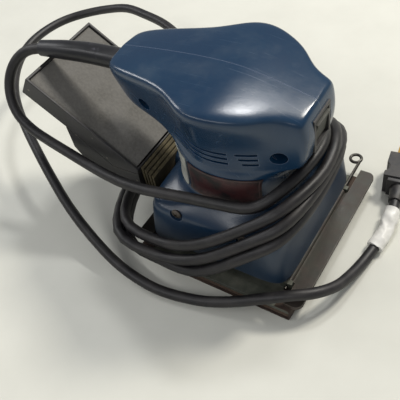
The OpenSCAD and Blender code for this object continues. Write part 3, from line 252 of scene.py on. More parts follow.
looks = {
    # glass-filled nylon, moulded with a fine spark grain and polished by hands: satin, blue-black
    "mouldedBlueNylon": {"colour": "#112e49", "rough": 0.23, "layers": [
        {"kind": "cloud", "size": 45, "low": 0.4, "high": 0.75, "colour": "#16354f", "rough": 0.2},
        {"kind": "cloud", "size": 4, "low": 0.52, "high": 0.8, "much": 0.35, "colour": "#1c3850"},
        {"kind": "streaks", "size": 30, "stretch": (1, 0.04, 0.3), "low": 0.6, "high": 0.7, "much": 0.3,
         "colour": "#2c4560", "rough": 0.45},
        {"kind": "dust", "size": 22, "low": 0.5, "high": 0.8, "much": 0.1, "colour": "#7d8080",
         "rough": 0.6},
        {"kind": "edge", "size": 0.5, "low": 0.985, "high": 0.9, "much": 0.45, "colour": "#7f8ca6"},
        {"kind": "low", "low": 0.07, "high": 0.03, "much": 0.45, "colour": "#20262d", "rough": 0.5},
    ], "grain": [{"size": 0.7, "deep": 0.02}, {"size": 9, "deep": 0.04}]},
    # printed vinyl, worn: dark red, blotched near-black
    "wornRedLabel": {"colour": "#3c1f20", "rough": 0.45, "layers": [
        {"kind": "cloud", "size": 9, "low": 0.42, "high": 0.6, "colour": "#171314", "rough": 0.55},
        {"kind": "cloud", "size": 14, "low": 0.6, "high": 0.8, "much": 0.5, "colour": "#6d4a48"},
    ], "grain": [{"size": 3, "deep": 0.04}]},
    # silvered foil label with greasy fingerprints: a pale patch on the barrel
    "silverFoil": {"colour": "#b9bab2", "rough": 0.4, "metal": 0.35, "layers": [
        {"kind": "cloud", "size": 8, "low": 0.45, "high": 0.75, "colour": "#8d8f83", "rough": 0.6},
        {"kind": "specks", "size": 3, "low": 0.16, "high": 0.06, "much": 0.6, "colour": "#5b5a50"},
    ], "grain": [{"size": 3, "deep": 0.04}]},
    # black ABS, moulded, greyed with fine dust
    "dustyBlackAbs": {"colour": "#1d1d1f", "rough": 0.45, "layers": [
        {"kind": "cloud", "size": 18, "low": 0.4, "high": 0.8, "much": 0.6, "colour": "#343235",
         "rough": 0.6},
        {"kind": "dust", "size": 7, "low": 0.4, "high": 0.85, "much": 0.4, "colour": "#6d675c",
         "rough": 0.85},
        {"kind": "edge", "size": 0.5, "low": 0.98, "high": 0.88, "much": 0.4, "colour": "#77736b"},
    ], "grain": [{"size": 0.8, "deep": 0.03}]},
    # switch plastic, olive grey under ground-in dust
    "dustyOlivePlastic": {"colour": "#2f312b", "rough": 0.6, "layers": [
        {"kind": "cloud", "size": 5, "low": 0.4, "high": 0.7, "colour": "#262622"},
        {"kind": "dust", "size": 4, "low": 0.35, "high": 0.7, "much": 0.6, "colour": "#58584d"},
        {"kind": "edge", "size": 0.4, "low": 0.98, "high": 0.88, "much": 0.5, "colour": "#85877b"},
    ], "grain": [{"size": 1, "deep": 0.05}]},
    # neoprene-sheathed mains lead: charcoal, dull, scuffed
    "neopreneSheath": {"colour": "#121113", "rough": 0.47, "layers": [
        {"kind": "cloud", "size": 25, "low": 0.4, "high": 0.7, "colour": "#1f1d20", "rough": 0.5},
        {"kind": "cloud", "size": 3, "low": 0.5, "high": 0.8, "much": 0.4, "colour": "#2a272b"},
        {"kind": "dust", "size": 12, "low": 0.45, "high": 0.85, "much": 0.3, "colour": "#57534e",
         "rough": 0.7},
        {"kind": "specks", "size": 30, "low": 0.045, "high": 0.03, "much": 0.8, "colour": "#b9b8b0"},
    ], "grain": [{"size": 1.2, "deep": 0.05}, {"size": 14, "deep": 0.12}]},
    # soft black vinyl of the relief, nearly clean, with pale lavender patches painted on as highlight
    "smoothVinyl": {"colour": "#17181b", "rough": 0.32, "layers": [
        {"kind": "cloud", "size": 30, "low": 0.4, "high": 0.7, "colour": "#212126", "rough": 0.42},
        # pale lavender patches: painted highlight
        {"kind": "cloud", "size": 7, "low": 0.62, "high": 0.74, "much": 0.35, "colour": "#8d8a98"},
        {"kind": "dust", "size": 12, "low": 0.5, "high": 0.9, "much": 0.2, "colour": "#55524e"},
    ], "grain": [{"size": 2, "deep": 0.04}]},
    # zinc-plated steel: a small dull glint down in each screw hole
    "zincScrew": {"colour": "#66605a", "rough": 0.45, "metal": 0.85, "layers": [
        {"kind": "cloud", "size": 3, "low": 0.45, "high": 0.8, "colour": "#473f37", "rough": 0.6}]},
    # ground bearing steel: the brightest, sharpest metal inside
    "groundSteel": {"colour": "#a6a8ab", "rough": 0.22, "metal": 1, "layers": [
        {"kind": "cloud", "size": 5, "low": 0.4, "high": 0.9, "colour": "#8e8f90", "rough": 0.35}]},
    # enamelled copper wire: deep orange, ribbed by its turns
    "enamelledCopper": {"colour": "#9a4f22", "rough": 0.3, "metal": 0.8, "layers": [
        {"kind": "cloud", "size": 2, "low": 0.4, "high": 0.8, "colour": "#6f3416"}],
        "grain": [{"size": 0.9, "deep": 0.2, "stretch": (1, 1, 0.2)}]},
    # drawn brass, handled: warm yellow blades on the plug
    "brightBrass": {"colour": "#b08c42", "rough": 0.3, "metal": 1, "layers": [
        {"kind": "cloud", "size": 4, "low": 0.4, "high": 0.8, "colour": "#8d6f3a", "rough": 0.45}]},
    # pressed carbon: flat black, no shine
    "pressedCarbon": {"colour": "#1b1b1c", "rough": 0.6, "layers": [
        {"kind": "cloud", "size": 2, "low": 0.4, "high": 0.9, "colour": "#2b2b2c"}]},
    # stacked iron sheets: fine dark lines round the core
    "stackedIron": {"colour": "#6a6a6c", "rough": 0.45, "metal": 1, "layers": [
        {"kind": "streaks", "size": 0.9, "stretch": (40, 40, 1), "low": 0.4, "high": 0.7,
         "colour": "#3f3c3a"}], "grain": [{"size": 0.8, "deep": 0.1, "stretch": (60, 60, 1)}]},
    # die-cast alloy: even grey with a pebbled skin
    "dieCastAlloy": {"colour": "#8b8d90", "rough": 0.5, "metal": 1, "layers": [
        {"kind": "cloud", "size": 6, "low": 0.4, "high": 0.8, "colour": "#737578", "rough": 0.62}],
        "grain": [{"size": 1.4, "deep": 0.06}]},
    # unpainted nylon: ivory, dusty on top
    "paleNylon": {"colour": "#c4c2b6", "rough": 0.5, "layers": [
        {"kind": "dust", "size": 8, "low": 0.3, "high": 0.7, "colour": "#8d8674", "rough": 0.8}]},
    # plated steel sheet under grey-green dust
    "dustyPlate": {"colour": "#4a4e46", "rough": 0.5, "metal": 0.35, "layers": [
        {"kind": "cloud", "size": 14, "low": 0.4, "high": 0.75, "colour": "#454840", "rough": 0.65},
        {"kind": "dust", "size": 9, "low": 0.35, "high": 0.75, "much": 0.6, "colour": "#807f72",
         "rough": 0.85},
        {"kind": "edge", "size": 0.4, "low": 0.98, "high": 0.88, "much": 0.5, "colour": "#9c9f98"},
    ], "grain": [{"size": 1.5, "deep": 0.05}]},
    # browned steel clamp with resin stains
    "stainedClamp": {"colour": "#33322c", "rough": 0.45, "metal": 0.2, "layers": [
        {"kind": "cloud", "size": 12, "low": 0.42, "high": 0.62, "colour": "#3b332e", "rough": 0.55},
        {"kind": "cloud", "size": 5, "low": 0.55, "high": 0.75, "much": 0.5, "colour": "#4c403b"},
        {"kind": "dust", "size": 16, "low": 0.45, "high": 0.8, "much": 0.4, "colour": "#55564b",
         "rough": 0.85},
        {"kind": "edge", "size": 0.5, "low": 0.98, "high": 0.86, "much": 0.6, "colour": "#8d8577"},
    ], "grain": [{"size": 1.6, "deep": 0.06}, {"size": 9, "deep": 0.12}]},
    # spring wire, oiled dark
    "springWire": {"colour": "#55534f", "rough": 0.35, "metal": 1, "layers": [
        {"kind": "cloud", "size": 6, "low": 0.4, "high": 0.8, "colour": "#2f2c2a", "rough": 0.5}]},
    # open-cell rubber: its pores drawn coarse enough to see as dark specks, painted shade inside them
    "brownFoam": {"colour": "#4a382d", "rough": 0.9, "layers": [
        {"kind": "specks", "size": 1.3, "low": 0.5, "high": 0.2, "much": 0.7, "colour": "#241a15"},
        {"kind": "dust", "size": 9, "low": 0.3, "high": 0.7, "much": 0.6, "colour": "#7d7163"},
    ], "grain": [{"size": 1.1, "deep": 0.35}]},
    # aluminium-oxide paper, P80, brown grit clogged with dust
    "brownGritPaper": {"colour": "#43352c", "rough": 0.85, "layers": [
        {"kind": "cloud", "size": 7, "low": 0.4, "high": 0.7, "colour": "#2b221e"},
        {"kind": "cloud", "size": 10, "low": 0.6, "high": 0.8, "much": 0.5, "colour": "#6b6660"},
    ], "grain": [{"size": 0.5, "deep": 0.18}]},
    # black ABS of the dust box: blotched brown by wood dust, rubbed pale along its edges
    "boxBlackAbs": {"colour": "#1f1f20", "rough": 0.5, "layers": [
        {"kind": "cloud", "size": 15, "low": 0.4, "high": 0.8, "much": 0.7, "colour": "#38363a",
         "rough": 0.6},
        {"kind": "dust", "size": 5, "low": 0.42, "high": 0.85, "much": 0.5, "colour": "#5c564b",
         "rough": 0.9},
        {"kind": "specks", "size": 9, "low": 0.1, "high": 0.06, "much": 0.5, "colour": "#8a8475"},
        {"kind": "edge", "size": 0.5, "low": 0.98, "high": 0.88, "much": 0.4, "colour": "#6b665e"},
    ], "grain": [{"size": 0.9, "deep": 0.05}]},
    # ribbed rubber neck, caked with olive-brown wood dust
    "cakedNeckRubber": {"colour": "#3d3624", "rough": 0.8, "layers": [
        {"kind": "cloud", "size": 6, "low": 0.4, "high": 0.7, "colour": "#1f1b13"},
        {"kind": "dust", "size": 5, "low": 0.3, "high": 0.7, "much": 0.8, "colour": "#6b6147",
         "lean": -0.8, "rough": 0.95},
        {"kind": "edge", "size": 0.4, "low": 0.98, "high": 0.86, "much": 0.5, "colour": "#8f865f"},
    ], "grain": [{"size": 0.9, "deep": 0.12}]},
    # needled filter felt, warm grey
    "greyFelt": {"colour": "#6d6b67", "rough": 0.95, "sheen": 0.2, "layers": [
        {"kind": "cloud", "size": 22, "low": 0.35, "high": 0.7, "colour": "#5d5b56"},
        {"kind": "cloud", "size": 1.6, "low": 0.35, "high": 0.75, "much": 0.5, "colour": "#807d77"},
    ], "grain": [{"size": 1.1, "deep": 0.16}, {"size": 12, "deep": 0.3}]},
    # filter paper: straw-coloured and matt
    "pleatedPaper": {"colour": "#a08f62", "rough": 0.85, "layers": [
        {"kind": "cloud", "size": 9, "low": 0.4, "high": 0.8, "colour": "#7d6d48"}],
        "grain": [{"size": 0.8, "deep": 0.05}]},
    # thin white film: the palest spot, with soft creases
    "whiteFilm": {"colour": "#ecebe6", "rough": 0.35, "layers": [
        {"kind": "cloud", "size": 12, "low": 0.4, "high": 0.8, "colour": "#cfcdc6", "rough": 0.5}],
        "grain": [{"size": 6, "deep": 0.2}]},
    # worn pale ink of the label's border, only just lighter than the label
    "whiteInk": {"colour": "#54423f", "rough": 0.5, "layers": [
        {"kind": "cloud", "size": 4, "low": 0.4, "high": 0.65, "colour": "#4a3a38"}]},
}
finishes = {name: finish(name, look) for name, look in looks.items()}
finishOf = {"housing_plastic": "mouldedBlueNylon", "label_red": "wornRedLabel",
            "label_silver": "silverFoil", "black_plastic": "dustyBlackAbs",
            "rocker_plastic": "dustyOlivePlastic",
            "cord_rubber": "neopreneSheath", "screw_steel": "zincScrew", "bearing_steel": "groundSteel",
            "copper": "enamelledCopper", "brass": "brightBrass", "carbon": "pressedCarbon",
            "core_iron": "stackedIron", "cast_alloy": "dieCastAlloy", "fan_plastic": "paleNylon",
            "plate_metal": "dustyPlate", "clamp_metal": "stainedClamp", "wire_steel": "springWire",
            "foam": "brownFoam", "abrasive": "brownGritPaper", "box_plastic": "boxBlackAbs",
            "neck_plastic": "cakedNeckRubber", "felt": "greyFelt", "filter_paper": "pleatedPaper",
            "tag_paper": "whiteFilm", "blade_brass": "brightBrass"}


def finishFor(node):
    return finishes[finishOf[slotOf[node]]]


for name, solid in nodes.items():
    solid.data.materials.clear()
    solid.data.materials.append(finishFor(name))
print("finishes:", len(finishes))


# camera, floor and light
view = {"place": (0.14170, -0.21101, 0.31670), "right": (0.84259587, 0.51907303, -0.1435109),
        "up": (-0.31605561, 0.69237496, 0.64863377), "back": (0.43605165, -0.50117871, 0.74744823),
        "lens": 55.18}
lamp = {"place": (0.4, 0.84, 1.2), "size": 0.26, "power": 14.5, "colour": "#fffaf0",
        "stripPlace": (-0.25, -0.95, 1.0), "stripSize": (2.0, 0.12), "stripPower": 6,
        "crestPlace": (-0.07, 0.6, 1.15), "crestSize": (0.2, 0.08), "crestPower": 4.2,
        "sidePlace": (-1.1, -0.1, 0.8), "sideSize": (0.3, 0.3), "sidePower": 3,
        "aim": (0, 0, 0.05), "air": 0.33, "airColour": "#eceef2"}
ground = {"half": 4, "height": -0.0002, "colour": "#d6d6cd", "cloud": "#cfcfc6"}

scene = bpy.context.scene
scene.view_settings.view_transform = "Standard"
camera = bpy.data.objects.new("camera", bpy.data.cameras.new("camera"))
camera.data.lens = view["lens"]
camera.data.clip_start, camera.data.clip_end = 0.01, 20
camera.matrix_world = Matrix((view["right"], view["up"], view["back"])).transposed().to_4x4()
camera.location = view["place"]
scene.collection.objects.link(camera)
scene.camera = camera


def softLamp(name, place, size, power, colour="#ffffff"):
    light = bpy.data.lights.new(name, "AREA")
    light.shape, light.energy = "RECTANGLE", power
    light.size, light.size_y = size
    light.color = linear(colour)[:3]
    holder = bpy.data.objects.new(name, light)
    holder.location = place
    holder.rotation_euler = (Vector(lamp["aim"]) - Vector(place)).to_track_quat("-Z", "Y").to_euler()
    scene.collection.objects.link(holder)


softLamp("windowLight", lamp["place"], (lamp["size"], lamp["size"]), lamp["power"], lamp["colour"])
for spot in ("strip", "crest", "side"):
    softLamp(spot + "Light", lamp[spot + "Place"], lamp[spot + "Size"], lamp[spot + "Power"])
air = bpy.data.worlds.new("air")
air.use_nodes = True
air.node_tree.nodes["Background"].inputs[0].default_value = linear(lamp["airColour"])
air.node_tree.nodes["Background"].inputs[1].default_value = lamp["air"]
scene.world = air

corners = [(x * ground["half"], y * ground["half"], 0) for x, y in ((-1, -1), (1, -1), (1, 1), (-1, 1))]
floor = bpy.data.objects.new("floor", meshOf("floor", corners, [(0, 1, 2, 3)]))
floor.location.z = ground["height"]
floor.data.materials.append(finish("paleFloor", {
    "colour": ground["colour"], "rough": 0.85, "layers": [
        {"kind": "cloud", "size": 60, "low": 0.35, "high": 0.75, "colour": ground["cloud"]}]}))
scene.collection.objects.link(floor)
print("camera, floor and light")


# mains lead: from the relief down over the box, 3.4 turns round the waist, out and back
lead = {"radius": 3.3, "sides": 20, "steps": 4, "stations": 45, "rounds": 3.385, "spread": 6.9,
        "reliefSides": 28, "reliefSteps": 6,
        "relief": [[-74.6, 0, 110.3], [-85, -0.8, 110.7], [-100, -3, 111.4], [-116, -5.8, 111.3],
                   [-133, -8.5, 110.3]],
        "reliefRadii": [6.75, 6.6, 6.35, 5.9, 4.9]}
leadPath = [[-133, -8.5, 110.3], [-144.4, -11.7, 107.5], [-152.9, -17.1, 100.7],
            [-156.8, -23.5, 91.1], [-155.3, -29.6, 80.7], [-148.7, -34.2, 71.6], [-137.6, -36.6, 65.4],
            [-124, -37.9, 61.8], [-108, -39.1, 58.7], [-91, -40.6, 56], [-76, -42.5, 55.4],
            [-61, -44.3, 56.5], [-46, -45, 58.3], [-30, -44, 60.7], [-14, -42.6, 63], [4, -41, 65],
            [20, -39.5, 67.5]]
# stations round the winding: its top strand, its bottom strand and the bulge between them
coilStations = [
    [[25, -37.5, 68], [28.5, -55, 44], [3, -2, 2]], [[36.5, -24, 75], [44.5, -39.5, 54], [4, -2, 3]],
    [[41.5, 0, 77], [46, -2, 55], [5, 0, 2]], [[39, 19.5, 76], [44, 34, 55], [4, 2, 3]],
    [[25, 39, 68], [28.5, 56, 44], [3, 2, 2]], [[-2, 51, 52], [0, 61, 28], [0, 3, 0]],
    [[-30, 52, 40], [-28, 62, 27], [0, 3, 2]], [[-58, 47, 33], [-57, 58, 23], [-3, 3, 1]],
    [[-74, 22, 29], [-77, 26, 11], [-4, 0, 0]], [[-74, -16, 29], [-77, -20, 11], [-4, 0, 0]],
    [[-60, -47, 31], [-50.5, -59.5, 20.8], [-3, -3, 2]], [[-31, -52, 33], [-28, -62, 15], [0, -3, 2]],
    [[-2, -51, 52], [-1, -62, 20], [0, -3, 0]]]
runPath = [[4, 62, 25], [-11, 66.4, 26], [-29, 70.5, 29], [-54, 74, 37], [-79, 82, 47],
           [-105, 93, 55], [-127, 102, 58], [-150, 109, 57], [-172, 113, 56], [-193, 111, 52],
           [-210, 102, 50], [-221, 88, 50], [-226, 71, 50.5], [-226.5, 53, 50.5], [-222, 36, 50],
           [-213, 19, 49], [-200, 3, 47.5], [-183.5, -11, 46], [-165, -23.5, 44], [-146, -35, 40.5],
           [-126.5, -46, 34.5], [-103.5, -57.5, 25], [-79, -66.5, 16], [-54, -73, 9.5], [-27, -74.5, 5],
           [0, -70, 5], [20, -64, 9.2], [36, -58, 15], [50.5, -50.8, 18.4], [62.5, -41.8, 17],
           [70, -29.6, 12.2], [73.2, -16.8, 7.7], [75.5, -3, 4.6], [77.5, 11, 3.9], [79, 24, 5],
           [78, 40, 8], [77, 46, 8.6]]
windings = []
for n in range(lead["stations"]):
    top, bottom, bulge = [np.array(p, float) for p in coilStations[n % len(coilStations)]]
    f = n / (lead["stations"] - 1)
    spot = top * (1 - f) + bottom * f + bulge * 4 * f * (1 - f)
    step = np.linalg.norm(bottom - top) / lead["rounds"]
    if (n + 1) // len(coilStations) % 2:  # where turns crowd, every other one lies on top
        spot += unit([spot[0] + 12, spot[1], 0]) * math.sqrt(max(0, lead["spread"] ** 2 - step ** 2))
    windings.append(spot)
cordPath = through(leadPath[:-1] + windings + runPath[1:], lead["steps"])
cord = pieceFrom("mainsLead", tubeMesh("mainsLead", cordPath, lead["radius"], lead["sides"]),
                 finishes["neopreneSheath"], "housing")
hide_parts("cord_lead", "cord_coil", "cord_run")
reliefPath = through(lead["relief"], lead["reliefSteps"])
reliefRadii = np.interp(np.arange(len(reliefPath)) / lead["reliefSteps"],
                        range(len(lead["reliefRadii"])), lead["reliefRadii"])
reliefMesh = tubeMesh("strainRelief", reliefPath, reliefRadii, lead["reliefSides"])
relief = pieceFrom("strainRelief", reliefMesh, finishes["smoothVinyl"], bodyOf["strain_relief"])
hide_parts("strain_relief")


# housing: one smooth net of rows, from the skirt's rim up to the crest
body = {"wall": 2.6, "skirtHalf": (47.2, 48.6), "skirtFoot": 20, "skirtTop": 49,
        "barrelHalf": (36.3, 34.8), "barrelFoot": 57.5, "headFoot": 85, "crest": 128.5,
        "frontFall": 9.5, "rearFall": 7, "front": 49, "tail": -74, "flank": 33.4, "palm": 41.5,
        "tailWidth": 21.5, "shoulder": 1.8, "capShare": 0.8, "cells": 6, "seam": 0.07, "rim": 0.3}
flip = np.array([1, -1, 1])


def skirtRow(a, b, r):
    c = b - r
    return [[a, 0], [a, 0.55 * c], [a, c], [a - 0.12 * r, b - 0.12 * r], [a - r, b], [25, b], [15, b],
            [3, b], [-8, b], [-17, b], [-25, b], [-a + r, b], [-a + 0.12 * r, b - 0.12 * r], [-a, c],
            [-a, 0.7 * c], [-a, 0.4 * c], [-a, 0]]


def barrelRow(a, b):
    turns = np.radians([0, 15, 28, 39, 49, 60, 73, 87, 101, 114, 126, 138, 149, 159, 167, 174, 180])
    power = lambda v: math.copysign(abs(v) ** 0.88, v) if abs(v) > 1e-9 else 0
    return [[a * power(math.cos(t)), b * power(math.sin(t))] for t in turns]


def headRow(f, fw, w, t, r):
    return [[f, 0], [f, 0.6 * fw], [f - 0.5, fw], [f - 5, fw + 1], [33, fw + 4], [25, 0.62 * w + 6],
            [15, 0.87 * w + 1.5], [3, w + 0.3], [-8, w], [-17, 0.86 * w + 0.5],
            [-25, 0.54 * w + 0.4 * t], [-35, t + 5.3], [-50, t + 2], [-64, t - 1], [r + 1.5, t - 4.5],
            [r, 0.5 * t], [r, 0]]


def lifted(row, z):
    return [[x, y, z(x) if callable(z) else z] for x, y in row]


def netOf(b):
    crest = lambda x: (b["crest"] - b["frontFall"] * (x / 46) ** 1.35 if x > 0 else
                       b["crest"] - b["rearFall"] * (-x / 75) ** 1.8)
    slant = lambda front, rear: lambda x: (front if x > -20 else
                                           front + (rear - front) * min(1, (-20 - x) / 25))
    half = b["barrelHalf"]
    tucked = lambda x: (35.5 + (x - 35.5) * 0.55 if x > 28 else
                        -35.5 + (x + 35.5) * 0.55 if x < -30 else x)
    flank = headRow(b["front"] - 3, 17, b["flank"], b["tailWidth"] - 5.5, b["tail"] + 3)
    cap = headRow(b["front"] - 4, 14, b["palm"] * b["capShare"], b["tailWidth"] * b["capShare"],
                  b["tail"] + 1.5)
    a, c, top, foot, head = *b["skirtHalf"], b["skirtTop"], b["barrelFoot"], b["headFoot"]
    return np.array([
        lifted(skirtRow(a, c, 13), b["skirtFoot"]), lifted(skirtRow(a, c, 13), b["skirtFoot"] + 1.5),
        lifted(skirtRow(a - 2.6, c - 1.4, 14), top - 4), lifted(skirtRow(a - 3.4, c - 1.8, 15), top),
        lifted(barrelRow(half[0] + 3.5, half[1] + 4.5), foot - 2), lifted(barrelRow(*half), foot + 2),
        lifted(barrelRow(*half), foot + 13), lifted(barrelRow(*half), head - 3.5),
        [[tucked(x), y, slant(head - 0.5, head + 4.5)(x)] for x, y in flank],
        lifted(flank, slant(head + 1.5, head + 7)),
        lifted(headRow(b["front"], 18, b["flank"] + 0.4, b["tailWidth"] - 4, b["tail"] + 0.5),
               slant(head + 17, head + 18)),
        lifted(headRow(b["front"] - 1.5, 19, b["palm"], b["tailWidth"], b["tail"]),
               lambda x: crest(x) - 7),
        lifted(headRow(b["front"] - 2.5, 18.5, b["palm"] - 0.3, b["tailWidth"], b["tail"]),
               lambda x: crest(x) - b["shoulder"]),
        lifted(cap, lambda x: crest(x) - 0.6), [[x, 0, crest(x) + 0.2] for x, y in cap]], float)


def innerNet(net, wall):
    rise = [0, 0, -0.1, -0.7, -0.9, -0.4, 0, 0.5, 1, 1, 0.2, -0.1, -0.7, -1, -1]
    inner, last = net.copy(), net.shape[1] - 1
    for i, row in enumerate(net):
        for j, p in enumerate(row):
            along = row[min(j + 1, last)] - row[max(j - 1, 0)]
            out = unit([along[1], -along[0]]) if np.hypot(*along[:2]) > 1e-6 else np.zeros(2)
            out = np.array([1, 0]) if j == 0 else np.array([-1, 0]) if j == last else out
            inset = np.array([wall * (p[0] + 12) / 60, 0]) if i == len(net) - 1 else wall * out
            inner[i, j, :2] -= inset
            if j in (0, last) or i == len(net) - 1:
                inner[i, j, 1] = 0
            inner[i, j, 2] += rise[i] * wall
    return inner


def spline(values, count):
    # cubic B-spline weights of each value on a padded line of count points
    table = np.zeros((len(values), count))
    for row, value in zip(table, values):
        j = min(int(value), count - 4)
        t = value - j
        row[j:j + 4] = [(1 - t) ** 3 / 6, (3 * t ** 3 - 6 * t * t + 4) / 6,
                        (-3 * t ** 3 + 3 * t * t + 3 * t + 1) / 6, t ** 3 / 6]
    return table


def skin(net, us, vs):
    wide = np.concatenate([net[:, 1:2] * flip, net, net[:, -2:-1] * flip], axis=1)
    tall = np.concatenate([2 * wide[:1] - wide[1:2], wide, wide[-2:-1] * flip])
    return np.einsum("vi,ijk,uj->vuk", spline(vs, len(tall)), tall, spline(us, wide.shape[1]))


def slabMesh(name, outer, inner, side, rim=0):
    # closed slab between two grids; side is 1 for the left half and -1 for the right
    rows, columns = outer.shape[:2]
    k = rows * columns
    points = np.concatenate([outer.reshape(-1, 3), inner.reshape(-1, 3)])
    points[:, 1] *= side
    faces = []
    for i in range(rows - 1):
        for j in range(columns - 1):
            a, b = i * columns + j, (i + 1) * columns + j
            faces += [(a, a + 1, b + 1, b), (k + a, k + b, k + b + 1, k + a + 1)]
    for j in range(columns - 1):
        b = (rows - 1) * columns + j
        faces += [(j + 1, j, k + j, k + j + 1), (b, b + 1, k + b + 1, k + b)]
    for i in range(rows - 1):
        a, b = i * columns, (i + 1) * columns
        faces += [(a, b, k + b, k + a), (b + columns - 1, a + columns - 1, k + a + columns - 1,
                                         k + b + columns - 1)]
    mesh = meshOf(name, points * mm, faces)
    shape = bmesh.new()
    shape.from_mesh(mesh)
    bmesh.ops.remove_doubles(shape, verts=shape.verts, dist=1e-6)
    bmesh.ops.dissolve_degenerate(shape, dist=1e-7, edges=shape.edges)
    if shape.calc_volume(signed=True) < 0:
        bmesh.ops.reverse_faces(shape, faces=shape.faces)
    if rim:
        edges = [e for e in shape.edges if e.is_manifold and e.calc_face_angle() > math.radians(50)
                 and all(abs(v.co.y) < 0.0002 for v in e.verts)]
        bmesh.ops.bevel(shape, geom=edges, offset=rim * mm, segments=2, affect="EDGES",
                        clamp_overlap=True)
    shape.to_mesh(mesh)
    shape.free()
    return mesh


def addBox(shape, low, high):
    made = bmesh.ops.create_cube(shape, size=1)["verts"]
    for v in made:
        v.co = [(l + (h - l) * (c + 0.5)) * mm for l, h, c in zip(low, high, v.co)]


def addRod(shape, axis, place, radius, start, stop, sides=32):
    # a rod along x or y, from start to stop; place is its other two coordinates
    turn = Matrix.Rotation(math.radians(90), 4, "Y" if axis == "x" else "X")
    middle = (start + stop) / 2
    spot = (middle, *place) if axis == "x" else (place[0], middle, place[1])
    bmesh.ops.create_cone(shape, cap_ends=True, segments=sides, radius1=radius * mm, radius2=radius * mm,
                          depth=(stop - start) * mm, matrix=Matrix.Translation(Vector(spot) * mm) @ turn)


def combined(piece, operation, build):
    # join or cut what build draws into a bmesh
    shape = bmesh.new()
    build(shape)
    bmesh.ops.recalc_face_normals(shape, faces=shape.faces)
    mesh = bpy.data.meshes.new("tool")
    shape.to_mesh(mesh)
    shape.free()
    tool = bpy.data.objects.new("tool", mesh)
    scene.collection.objects.link(tool)
    step = piece.modifiers.new("step", "BOOLEAN")
    step.operation, step.object, step.solver = operation, tool, "EXACT"
    applied(piece)
    bpy.data.objects.remove(tool)
    bpy.data.meshes.remove(mesh)


headScrews = [(-50, 101, 13, 17.2), (34.2, 94, 11, 19.4)]  # x, z, seat of the head, end of the boss
bridgeScrews = [(x, 48.1) for x in (-22, 22)]
hole = {"boss": 5.3, "pilot": 1.8, "headRecess": 4.3, "bridgeRecess": 4.5, "bridgeSeat": 45.2,
        "past": 60, "vents": 3, "ventFoot": 4.2, "ventPitch": 3.6, "ventHigh": 1.7,
        "ventDepth": (20, 50),
        "switchAlong": (37, 54), "switchHalf": 9.7, "switchHeight": (91.8, 113.2),
        "lead": 6.1, "leadPlace": (0, 110.2), "leadRun": (-79, -64),
        "spigot": 6.2, "spigotPlace": (0, 41.8), "spigotRun": (-52.2, -33.2)}
net = netOf(body)
inside = innerNet(net, body["wall"])
us = np.linspace(0, net.shape[1] - 1, (net.shape[1] - 1) * body["cells"] + 1)
vs = np.linspace(0, len(net) - 1, (len(net) - 1) * body["cells"] + 1)
for side, node in ((1, "housing_left"), (-1, "housing_right")):
    gap = np.array([0, body["seam"], 0])
    shell = pieceFrom("shellLeft" if side > 0 else "shellRight",
                      slabMesh(node, skin(net, us, vs) + gap, skin(inside, us, vs) + gap, side,
                               body["rim"]),
                      finishes["mouldedBlueNylon"], bodyOf[node], 45)

    def bosses(shape):
        for x, z, seat, end in headScrews:
            addRod(shape, "y", (x, z), hole["boss"], *sorted((side * body["seam"], side * end)))

    def cuts(shape):
        for x, z, seat, end in headScrews:
            if side < 0:
                addRod(shape, "y", (x, z), hole["pilot"], -seat, 1)
                addRod(shape, "y", (x, z), hole["headRecess"], -hole["past"], -seat)
            else:
                addRod(shape, "y", (x, z), hole["pilot"], -1, seat - 2)
        seat = side * hole["bridgeSeat"]
        for x, z in bridgeScrews:
            addRod(shape, "y", (x, z), hole["pilot"], *sorted((side * 30, seat)))
            addRod(shape, "y", (x, z), hole["bridgeRecess"], *sorted((seat, side * hole["past"])))
        for k in range(hole["vents"]):  # two rows of slots, each slot a little shorter than the last
            z = body["headFoot"] + hole["ventFoot"] + hole["ventPitch"] * k
            for start, stop in ((-30 + 2 * k, 10), (14 + 1.5 * (2 - k), 25)):
                near, far = sorted(side * y for y in hole["ventDepth"])
                addBox(shape, (start, near, z), (stop, far, z + hole["ventHigh"]))
        near, far = sorted((-side, side * hole["switchHalf"]))
        (start, stop), (foot, top) = hole["switchAlong"], hole["switchHeight"]
        addBox(shape, (start, near, foot), (stop, far, top))
        addRod(shape, "x", hole["leadPlace"], hole["lead"], *hole["leadRun"])
        addRod(shape, "x", hole["spigotPlace"], hole["spigot"], *hole["spigotRun"])

    combined(shell, "UNION", bosses)
    combined(shell, "DIFFERENCE", cuts)
    for polygon in shell.data.polygons:
        polygon.use_smooth = True
    shell.data.set_sharp_from_angle(angle=math.radians(42))
    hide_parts(node)
    print("shell:", node, len(shell.data.polygons))


# labels: a dark printed one and a silver one on each side of the barrel
labels = {"high": 0.6, "low": 0.1, "proud": 0.05, "cells": (61, 41), "from": 4.95, "to": 6.95,
          "dark": (3.9, 9.2), "silver": (9.5, 13)}


def labelPiece(name, node, ends, side, mats):
    columns, rows = labels["cells"]
    grid = skin(net, np.linspace(*ends, columns), np.linspace(labels["from"], labels["to"], rows))
    normal = np.cross(np.gradient(grid, axis=1), np.gradient(grid, axis=0))
    normal /= np.linalg.norm(normal, axis=2)[..., None]
    normal *= np.sign((normal * grid)[..., :2].sum(axis=2))[..., None]
    grid = grid + labels["proud"] * normal
    mesh = slabMesh(name, grid + labels["high"] * normal, grid + labels["low"] * normal, side)
    piece = pieceFrom(name, mesh, mats[0], bodyOf[node], 50)
    for extra in mats[1:]:
        mesh.materials.append(extra)
    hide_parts(node)
    return piece, grid


